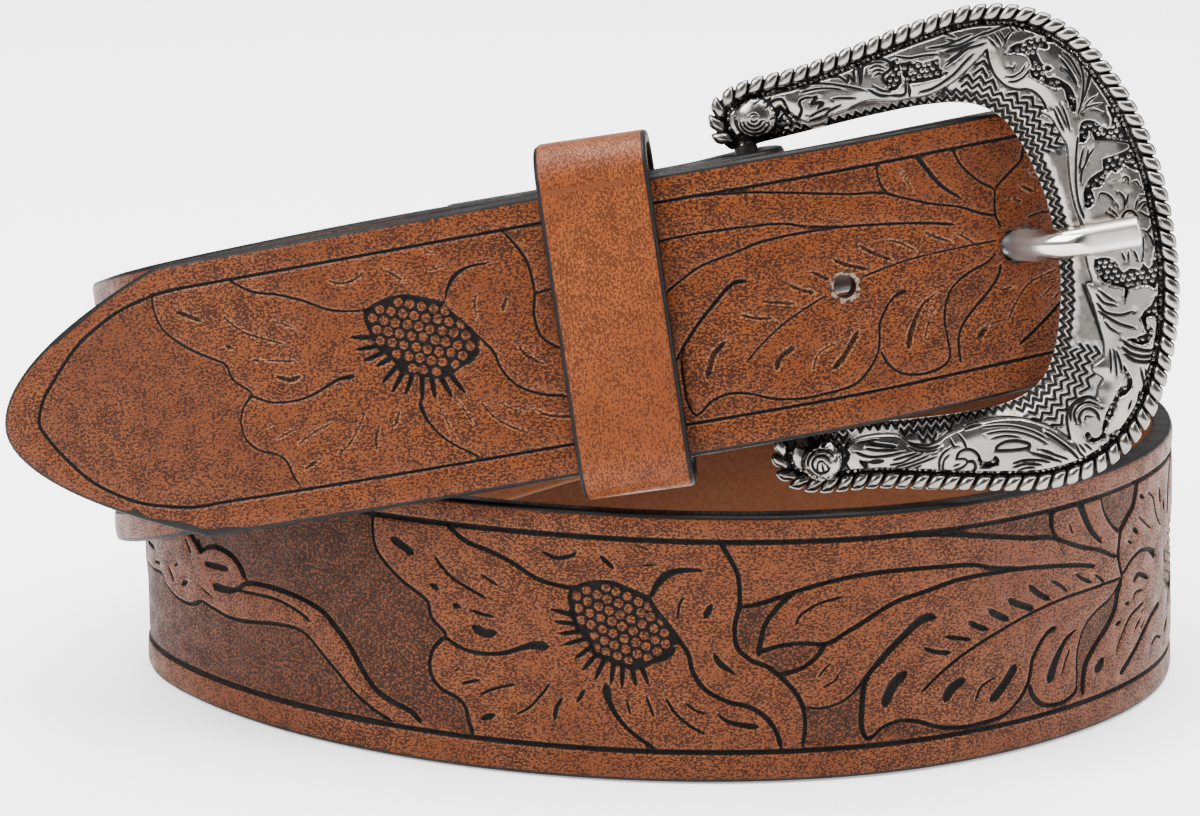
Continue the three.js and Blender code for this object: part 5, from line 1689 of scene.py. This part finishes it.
def tube(start, stop, radius, sides):
    """A round bar with softened ends, between two places."""
    start, stop = np.array(start, float), np.array(stop, float)
    way = unit(stop - start)
    first = unit(np.cross(way, (0.3, 0.1, 1)))
    second = np.cross(way, first)
    size = np.linalg.norm(stop - start)
    plan = BAR_END + [(size - at, share) for at, share in BAR_END[::-1]]
    turn = np.arange(sides) * 2 * math.pi / sides
    ring = np.cos(turn)[:, None] * first + np.sin(turn)[:, None] * second
    points = np.vstack([start + way * at + ring * radius * max(share, 0.01)
                        for at, share in plan])
    return points, ring_strips(np.arange(len(points)).reshape(-1, sides))


bar_points, bar_quads = tube((BAR_AT, -BAR_HALF, 0), (BAR_AT, BAR_HALF, 0), BAR_RADIUS, 24)
# painted shade: the bar sits inside the strap's fold and is painted dark all over
build.add(bar_points, bar_quads, bar_points[:, :2], cut=1.0, dark=1.0)
buckle = build.finish("buckle_casting", on_buckle)

# %% Prong measures
# the rod's middle line: along the strap, out from the bar
PRONG_ROWS = [(9.4, -0.3), (18, -0.9), (25, -2.4), (30, -4.0), (34, -4.8), (37.2, -4.7),
              (39.4, -3.5), (40.6, -1.5), (41.8, 0.4), (43.3, 2.3), (45.3, 3.8),
              (47.4, 4.6), (50.2, 4.95), (55.8, 4.95)]
PRONG_RADIUS = 2.1
PRONG_SIDES = 40
# the end closes in a short round-over: distance on from the last place, share of the radius
PRONG_END = [(0.28, 0.97), (0.48, 0.88), (0.6, 0.7), (0.64, 0.4), (0.65, 0.02)]
# the top of the front part was hammered a little flat
FACET_FROM, FACET_DEPTH, FACET_SLOPE = 48.5, 0.16, 0.12
# painted shade on the rod up to the hole, where it lies behind the leather, and worn dull in the
# hole
SHADED_TO, WORN_TO = 37.5, 45.5
EYE_OUTER, EYE_INNER, EYE_HALF = 3.6, 1.9, 2.2
EYE_SIDES = 36
# the eye's cross-section, once round: radius, place across
EYE_SECTION = [(EYE_INNER + 0.15, -EYE_HALF), (EYE_OUTER - 0.3, -EYE_HALF),
               (EYE_OUTER, -EYE_HALF + 0.35), (EYE_OUTER, EYE_HALF - 0.35),
               (EYE_OUTER - 0.3, EYE_HALF), (EYE_INNER + 0.15, EYE_HALF),
               (EYE_INNER, EYE_HALF - 0.2), (EYE_INNER, -EYE_HALF + 0.2)]
print("prong", 2 * PRONG_RADIUS, "mm thick")

# %% Prong


def prong_places():
    """Place, direction and radius of each ring of the rod."""
    path = smooth_path(PRONG_ROWS, 0.45)
    ahead = unit(np.gradient(path, axis=0))
    first = (path[0] - ahead[0] * 0.3, ahead[0], PRONG_RADIUS * 0.2)
    middle = [(point, way, PRONG_RADIUS) for point, way in zip(path, ahead)]
    end = [(path[-1] + ahead[-1] * out_by, ahead[-1], PRONG_RADIUS * share)
           for out_by, share in PRONG_END]
    return [first, *middle, *end]


def share_before(place, end, reach):
    """1 well before the end, falling to 0 at it."""
    return float(np.clip((end - place) / reach, 0, 1))


def make_prong():
    build = Build("dark", "facet", "worn")
    turn = np.arange(PRONG_SIDES) * 2 * math.pi / PRONG_SIDES
    rings = []
    for (p, o), way, radius in prong_places():
        flatten = np.clip((p - FACET_FROM) / 1.5, 0, 1)
        lift = np.sin(turn) * radius
        top = PRONG_RADIUS * (1 - FACET_DEPTH * flatten)
        lift = np.where(lift > top, top + (lift - top) * FACET_SLOPE, lift)
        points = np.column_stack([p - way[1] * lift, np.cos(turn) * radius, o + way[0] * lift])
        drawing = np.column_stack([np.full(PRONG_SIDES, p), turn])
        # painted shade: the hidden part of the rod is painted dark, darker on its front side
        dull_and_shaded = share_before(p, SHADED_TO, 1.5) * (0.5 + 0.5 * np.sin(turn))
        rings.append(build.add_ring(points, drawing, dark=dull_and_shaded, facet=flatten,
                                    worn=share_before(p, WORN_TO, 3)))
    build.faces += ring_strips(rings)
    build.faces += [tuple(map(int, rings[0][::-1])), tuple(map(int, rings[-1]))]
    spin = np.arange(EYE_SIDES) * 2 * math.pi / EYE_SIDES
    rings = []
    for radius, place in EYE_SECTION:
        points = np.column_stack([BAR_AT + radius * np.cos(spin), np.full(EYE_SIDES, place),
                                  radius * np.sin(spin)])
        # painted shade: the eye round the bar is painted half dark, as it sits in the strap's fold
        rings.append(build.add_ring(points, points[:, :2], dark=0.5))
    build.faces += ring_strips(rings + rings[:1])
    return build.finish("prong_rod", on_buckle)


prong = make_prong()

# %% [markdown]
# ## Finishes
#
# Each finish is built from sums of noise and of the values stored in the meshes. A small class
# lets those sums be written as sums. Pictures of leather would repeat and would not know where
# the cuts are.

# %% A value in a finish


class Value:
    """A number, colour or vector on its way through a finish."""

    def __init__(self, finish, socket):
        self.finish, self.socket = finish, socket

    def _sum(self, operation, first, second):
        return self.finish.node("Math", {"operation": operation}, {0: first, 1: second})

    def __add__(self, other):
        return self._sum("ADD", self, other)

    def __radd__(self, other):
        return self._sum("ADD", other, self)

    def __sub__(self, other):
        return self._sum("SUBTRACT", self, other)

    def __rsub__(self, other):
        return self._sum("SUBTRACT", other, self)

    def __mul__(self, other):
        return self._sum("MULTIPLY", self, other)

    def __rmul__(self, other):
        return self._sum("MULTIPLY", other, self)

    def least(self, other):
        return self._sum("MINIMUM", self, other)

    def most(self, other):
        return self._sum("MAXIMUM", self, other)

    def step(self, low, high):
        """0 below low, 1 above high and smooth between; falls where low is the larger."""
        falls = low > high
        ends = {"From Min": min(low, high), "From Max": max(low, high),
                "To Min": float(falls), "To Max": float(not falls), "Value": self}
        return self.finish.node("MapRange", {"interpolation_type": "SMOOTHSTEP"}, ends)


print("sums of values become nodes")

# %% A finish


class Finish:
    """One material, whose nodes all come from one method."""

    def __init__(self, name):
        self.material = bpy.data.materials.new(name)
        self.material.use_nodes = True
        self.tree = self.material.node_tree
        self.shader = self.tree.nodes["Principled BSDF"]
        print("finish:", name)

    def plug(self, slot, item):
        if isinstance(item, Value):
            self.tree.links.new(item.socket, slot)
        else:
            slot.default_value = item

    def node(self, kind, settings, sockets, output=0):
        """A node with its settings, then its sockets by name or number."""
        node = self.tree.nodes.new("ShaderNode" + kind)
        for key, value in settings.items():
            setattr(node, key, value)
        for key, item in sockets.items():
            self.plug(node.inputs[key], item)
        return Value(self, node.outputs[output])

    def stored(self, name):
        return self.node("Attribute", {"attribute_name": name}, {}, "Fac")

    def place(self):
        return self.node("TexCoord", {}, {}, "Object")

    def flat(self, stretch=(1, 1, 1)):
        """The flat drawing's place in millimetres, stretched if asked."""
        drawing = self.node("UVMap", {"uv_map": "flat"}, {})
        scale = tuple(share / MM for share in stretch)
        return self.node("VectorMath", {"operation": "MULTIPLY"}, {0: drawing, 1: scale})

    def noise(self, place, scale, detail=2.0, rough=0.5, twist=0.0):
        sockets = {"Vector": place, "Scale": scale, "Detail": detail, "Roughness": rough,
                   "Distortion": twist}
        return self.node("TexNoise", {"noise_dimensions": "3D"}, sockets)

    def mix(self, share, first, second):
        return self.node("Mix", {"data_type": "RGBA"}, {0: share, 6: first, 7: second}, 2)

    def set(self, **sockets):
        for key, item in sockets.items():
            self.plug(self.shader.inputs[key.replace("_", " ")], item)

    def bump(self, height, strength, distance):
        sockets = {"Height": height, "Strength": strength, "Distance": distance * MM}
        self.set(Normal=self.node("Bump", {}, sockets))


def tone(red, green, blue):
    """A colour as a printed chart gives it, 0 to 255, for the renderer's own scale."""
    parts = [value / 255 for value in (red, green, blue)]
    parts = [v / 12.92 if v <= 0.04045 else ((v + 0.055) / 1.055) ** 2.4 for v in parts]
    return (*parts, 1.0)


# %% [markdown]
# ## Leather
#
# The leather is orange-brown with short dark marks all over, as a rubbed print leaves them. The
# cuts are painted black, the stamped ground is darker and grainy, the edges are painted, and the
# inner side is plain brown. Every one of these has its own roughness as well. Each layer below is
# laid over the ones before it, in the order in which the maker works.

# %% Leather colours
LEATHER = {"light": tone(101, 51, 17), "deep": tone(83, 38, 10)}
KEEPER_LEATHER = {"light": tone(118, 61, 26), "deep": tone(96, 46, 17)}
INNER = {"light": tone(88, 49, 25), "deep": tone(75, 41, 21)}
SPECK = tone(32, 9, 1)
INK = tone(6, 3, 2)
PAINT = tone(7, 5, 4)
GROUND_DARK = tone(22, 9, 4)
PALE = tone(124, 84, 52)
FRAY_PALE = tone(120, 105, 90)
print("leather:", [round(part, 3) for part in LEATHER["light"][:3]])

# %% Grain


class Grain:
    """The noises that the leather is made of, from broad clouds to fine grit."""

    def __init__(self, finish):
        place = finish.flat()
        self.broad = finish.noise(place, 0.05, 3.0, 0.55).step(0.3, 0.7)
        self.patch = finish.noise(place, 0.35, 2.0, 0.5).step(0.3, 0.75)
        self.worm = finish.noise(finish.flat((0.85, 1.2, 1)), 2.9, 2.2, 0.6, 0.6)
        self.fine = finish.noise(place, 6.0, 2.0, 0.5)
        self.grit = finish.noise(place, 2.1, 3.0, 0.75).step(0.46, 0.54)
        self.rough = finish.noise(place, 1.4, 3.0, 0.7)
        self.nap = finish.noise(place, 1.2, 4.0, 0.7)
        density = 0.05 * (self.broad - 0.5) + 0.06 * (self.patch - 0.5)
        self.speck = (self.worm + 1.3 * density + 0.08 * (self.fine - 0.5)).step(0.455, 0.53)


print("seven noises in the grain")

# %% Layers of colour


def rubbed(finish, grain, colours, rub):
    """Mottled leather under the short dark marks of the rubbed print."""
    colour = finish.mix(grain.broad, colours["deep"], colours["light"])
    return finish.mix(grain.speck * rub, colour, SPECK)


def worn_and_highlit_rims(finish, grain, colour, cut, strength):
    """Bare leather in broken bits beside the cuts, partly real wear and partly a painted highlight
    on the cuts' rounded shoulders, and more of it beside the paler ones.
    """
    beside = cut.step(0.0, 0.07) * cut.step(0.36, 0.12)
    amount = 0.2 + 0.4 * strength.step(0.98, 0.7)
    # painted highlight: PALE lightens the shoulders beside the cuts, as well as showing bare
    # leather
    return finish.mix(beside * amount * grain.worm.step(0.56, 0.46), colour, PALE)


def frayed_holes(finish, grain, colour, fray):
    """Torn pale fibres and dark bits round the punched holes, and dark walls inside them."""
    outside = fray.step(-0.05, 0.02)
    torn = (fray + 1.9 * (grain.rough - 0.5)).step(0.72, 0.5) * outside
    burnt = (fray + 1.3 * (grain.worm - 0.5)).step(0.80, 0.55) * outside
    colour = finish.mix(torn * 0.8, colour, FRAY_PALE)
    colour = finish.mix(burnt * grain.rough.step(0.45, 0.55) * 0.9, colour, SPECK)
    return finish.mix(fray.step(0.0, -0.12), colour, SPECK)


def inner_side(finish, grain, colour, inner, rim):
    """Plain brown nap, with a paler line beside the painted edge, partly bare leather and partly a
    painted highlight on the rounded edge.
    """
    nap = finish.mix(grain.nap.step(0.35, 0.7), INNER["deep"], INNER["light"])
    # painted highlight: the paler line beside the edge paint is partly a highlight painted in PALE
    nap = finish.mix(rim.step(1.6, 1.1) * rim.step(0.5, 0.7) * 0.5, nap, PALE)
    return finish.mix(inner, colour, nap)


print("four layers of colour")

# %% Leather


def leather(name, colours, rub):
    finish = Finish(name)
    grain = Grain(finish)
    ground, strength, cut = finish.stored("ground"), finish.stored("ink"), finish.stored("cut")
    inner, rim, fray = finish.stored("inner"), finish.stored("rim"), finish.stored("fray")
    colour = rubbed(finish, grain, colours, rub)
    colour = finish.mix(ground * (0.08 + 0.88 * grain.grit), colour, GROUND_DARK)
    # the pale rims beside the cuts are partly wear and partly painted highlight
    colour = worn_and_highlit_rims(finish, grain, colour, cut, strength)
    ragged = cut + 0.12 * (grain.fine - 0.5) + 0.10 * (grain.patch - 0.5)
    ink = ragged.step(0.05, -0.07) * strength
    colour = finish.mix(ink, colour, INK)
    colour = frayed_holes(finish, grain, colour, fray)
    colour = inner_side(finish, grain, colour, inner, rim)
    edge = (rim + 0.35 * (grain.fine - 0.5) + 0.25 * (grain.worm - 0.5)).step(0.66, 0.46)
    colour = finish.mix(edge, colour, PAINT)
    finish.set(Base_Color=colour, Coat_Roughness=0.3, Specular_IOR_Level=0.12)
    sheen = 0.44 + 0.14 * grain.speck + 0.10 * ground + 0.12 * (grain.patch - 0.5)
    finish.set(Roughness=sheen + 0.15 * inner + 0.25 * ink)
    finish.set(Coat_Weight=(0.04 - 0.03 * inner.least(1.0)) * (1.0 - ink))
    height = 0.6 * (1.0 - grain.speck) + 0.5 * grain.fine + ground * grain.grit.step(1.0, 0.0) * 1.2
    finish.bump(height + 0.25 * grain.nap * inner, 0.35, 0.09)
    return finish.material


strap_leather = leather("rubbed_leather", LEATHER, 0.95)
keeper_leather = leather("keeper_leather", KEEPER_LEATHER, 0.72)

# %% [markdown]
# ## Metals
#
# The casting is silver plate over black oxide: bright where a cloth reaches, black in the depths.
# The prong is polished nickel with fine draw marks, worn dull where it rubs in its hole. Both
# need something dark and something light to mirror, which the studio below gives them.

# %% Antique silver


def antique_silver():
    finish = Finish("antique_silver")
    place = finish.place()
    cloud = finish.noise(place, 900.0, 3.0, 0.6)
    broad = finish.noise(place, 130.0, 2.0, 0.5)
    # the stored darkness is partly painted shade (the rope strands' undersides and outer halves,
    # the bar in the strap's fold) and partly a painted reflection of the leather in the smooth band
    # beside the window; it also darkens the lip, the field's edges, the sides and the back
    shade_and_tarnish = finish.stored("dark") + 0.35 * (cloud - 0.5)
    cut = finish.stored("cut") + 0.05 * (cloud - 0.5)
    colour = finish.mix(broad.step(0.3, 0.7), tone(122, 117, 112), tone(146, 140, 135))
    colour = finish.mix(cloud.step(0.55, 0.75) * 0.3, colour, tone(84, 78, 73))
    colour = finish.mix(shade_and_tarnish.step(0.2, 1.0), colour, tone(30, 24, 21))
    black = cut.step(0.03, -0.05)
    colour = finish.mix(black, colour, tone(9, 8, 8))
    dull_and_shaded = black.most(shade_and_tarnish.step(0.5, 1.1))
    finish.set(Base_Color=colour, Metallic=1.0 - 0.95 * dull_and_shaded, Specular_IOR_Level=0.12)
    finish.set(Roughness=0.17 + 0.12 * cloud + 0.3 * dull_and_shaded)
    finish.bump(cloud, 0.12, 0.05)
    return finish.material


silver = antique_silver()

# %% Polished nickel


def polished_nickel():
    finish = Finish("polished_nickel")
    smear = finish.noise(finish.place(), 60.0, 3.0, 0.6)
    drawn = finish.noise(finish.flat((0.5, 6, 1)), 0.5, 2.0, 0.6)
    shade_and_tarnish, worn, facet = finish.stored("dark"), finish.stored("worn"), finish.stored("facet")
    colour = finish.mix(smear.step(0.3, 0.7), tone(190, 186, 178), tone(206, 202, 194))
    # painted shade: the stored darkness paints the rod's hidden root, darker on its front side, and
    # the eye round the bar near black
    colour = finish.mix(shade_and_tarnish, colour, tone(14, 11, 9))
    colour = finish.mix(worn, colour, tone(196, 198, 202))
    finish.set(Base_Color=colour, Metallic=1.0 - 0.8 * shade_and_tarnish)
    rough = 0.07 + 0.07 * drawn + 0.5 * shade_and_tarnish + 0.26 * worn
    finish.set(Roughness=rough + 0.26 * facet)
    finish.bump(smear + 0.2 * drawn, 0.05, 0.05)
    return finish.material


nickel = polished_nickel()

# %% Rivet steel


def rivet_steel():
    finish = Finish("rivet_steel")
    cloud = finish.noise(finish.place(), 700.0, 4.0, 0.65)
    colour = finish.mix(cloud.step(0.35, 0.7), tone(150, 146, 140), tone(190, 186, 178))
    finish.set(Base_Color=colour, Metallic=1.0, Roughness=0.28 + 0.2 * cloud)
    finish.bump(cloud, 0.2, 0.04)
    return finish.material


steel = rivet_steel()

# %% Finishes on the pieces
DRESSED = [(strap, "strap", "strap_leather", strap_leather),
           (keeper, "keeper", "keeper_leather", keeper_leather),
           (buckle, "buckle_frame", "antique_silver", silver),
           (prong, "prong", "polished_nickel", nickel)]
for piece, node, slot_name, material in DRESSED:
    piece.data.materials.append(material)
    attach(piece, "root")
    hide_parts(node)
for number in (1, 2):
    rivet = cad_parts[f"fold_rivet_{number}"]
    rivet.data.materials.clear()
    rivet.data.materials.append(steel)
print(len(DRESSED), "pieces dressed, and two CAD rivets")

# %% [markdown]
# ## The studio
#
# White paper on the floor, a wide soft light from the upper left, one from above and a small one
# from the right, as a catalogue table has them. The black card stands in front, where the camera
# looks past it: polished metal has to mirror something dark, or it looks like grey plastic.

# %% Studio tools


def plane(name, corners, material):
    mesh = bpy.data.meshes.new(name)
    mesh.from_pydata([tuple(corner) for corner in corners], [], [(0, 1, 2, 3)])
    mesh.materials.append(material)
    thing = bpy.data.objects.new(name, mesh)
    bpy.context.scene.collection.objects.link(thing)
    return thing


def soft_light(name, place, aim, size, power):
    data = bpy.data.lights.new(name, "AREA")
    data.shape, data.size, data.size_y = "RECTANGLE", size[0], size[1]
    data.energy = power
    lamp = bpy.data.objects.new(name, data)
    lamp.location = place
    way = Vector(aim) - lamp.location
    lamp.rotation_euler = way.to_track_quat("-Z", "Y").to_euler()
    bpy.context.scene.collection.objects.link(lamp)
    print(f"{name}: {power} W")


# %% Paper and card
PAPER_GLOW = 0.45


def paper():
    finish = Finish("white_paper")
    fibre = finish.noise(finish.place(), 250.0, 3.0, 0.6)
    colour = finish.mix(fibre.step(0.3, 0.7), tone(250, 250, 250), tone(253, 253, 253))
    finish.set(Base_Color=colour, Roughness=0.9, Specular_IOR_Level=0.1)
    finish.set(Emission_Color=(1, 1, 1, 1), Emission_Strength=PAPER_GLOW)
    return finish.material


def black_card():
    finish = Finish("black_card")
    finish.set(Base_Color=tone(20, 20, 21), Roughness=0.9)
    return finish.material


floor = plane("floor", [(-3, -3, 0), (3, -3, 0), (3, 5, 0), (-3, 5, 0)], paper())
CARD = {"half": 0.5, "front": -0.95, "low": 0.06, "high": 0.86}
card_corners = [(-1, "low"), (1, "low"), (1, "high"), (-1, "high")]
card_corners = [(side * CARD["half"], CARD["front"], CARD[level]) for side, level in card_corners]
front_card = plane("front_card", card_corners, black_card())

# %% Lights and camera
ROOM_LIGHT = 0.55
soft_light("left_light", (-0.75, -0.45, 0.75), (0, 0, 0.04), (0.7, 0.7), 24)
soft_light("top_light", (0.1, 0.15, 1.3), (0, 0, 0.04), (1.4, 1.4), 80)
soft_light("right_light", (0.95, -0.25, 0.45), (0, 0, 0.05), (0.5, 0.8), 10)
world = bpy.data.worlds.new("studio_air")
bpy.context.scene.world = world
world.use_nodes = True
air = world.node_tree.nodes["Background"]
air.inputs["Color"].default_value = (1, 1, 1, 1)
air.inputs["Strength"].default_value = ROOM_LIGHT
make_camera(Vector(tuple(SHIFT * MM)))

# %% Update the scene
bpy.context.view_layer.update()
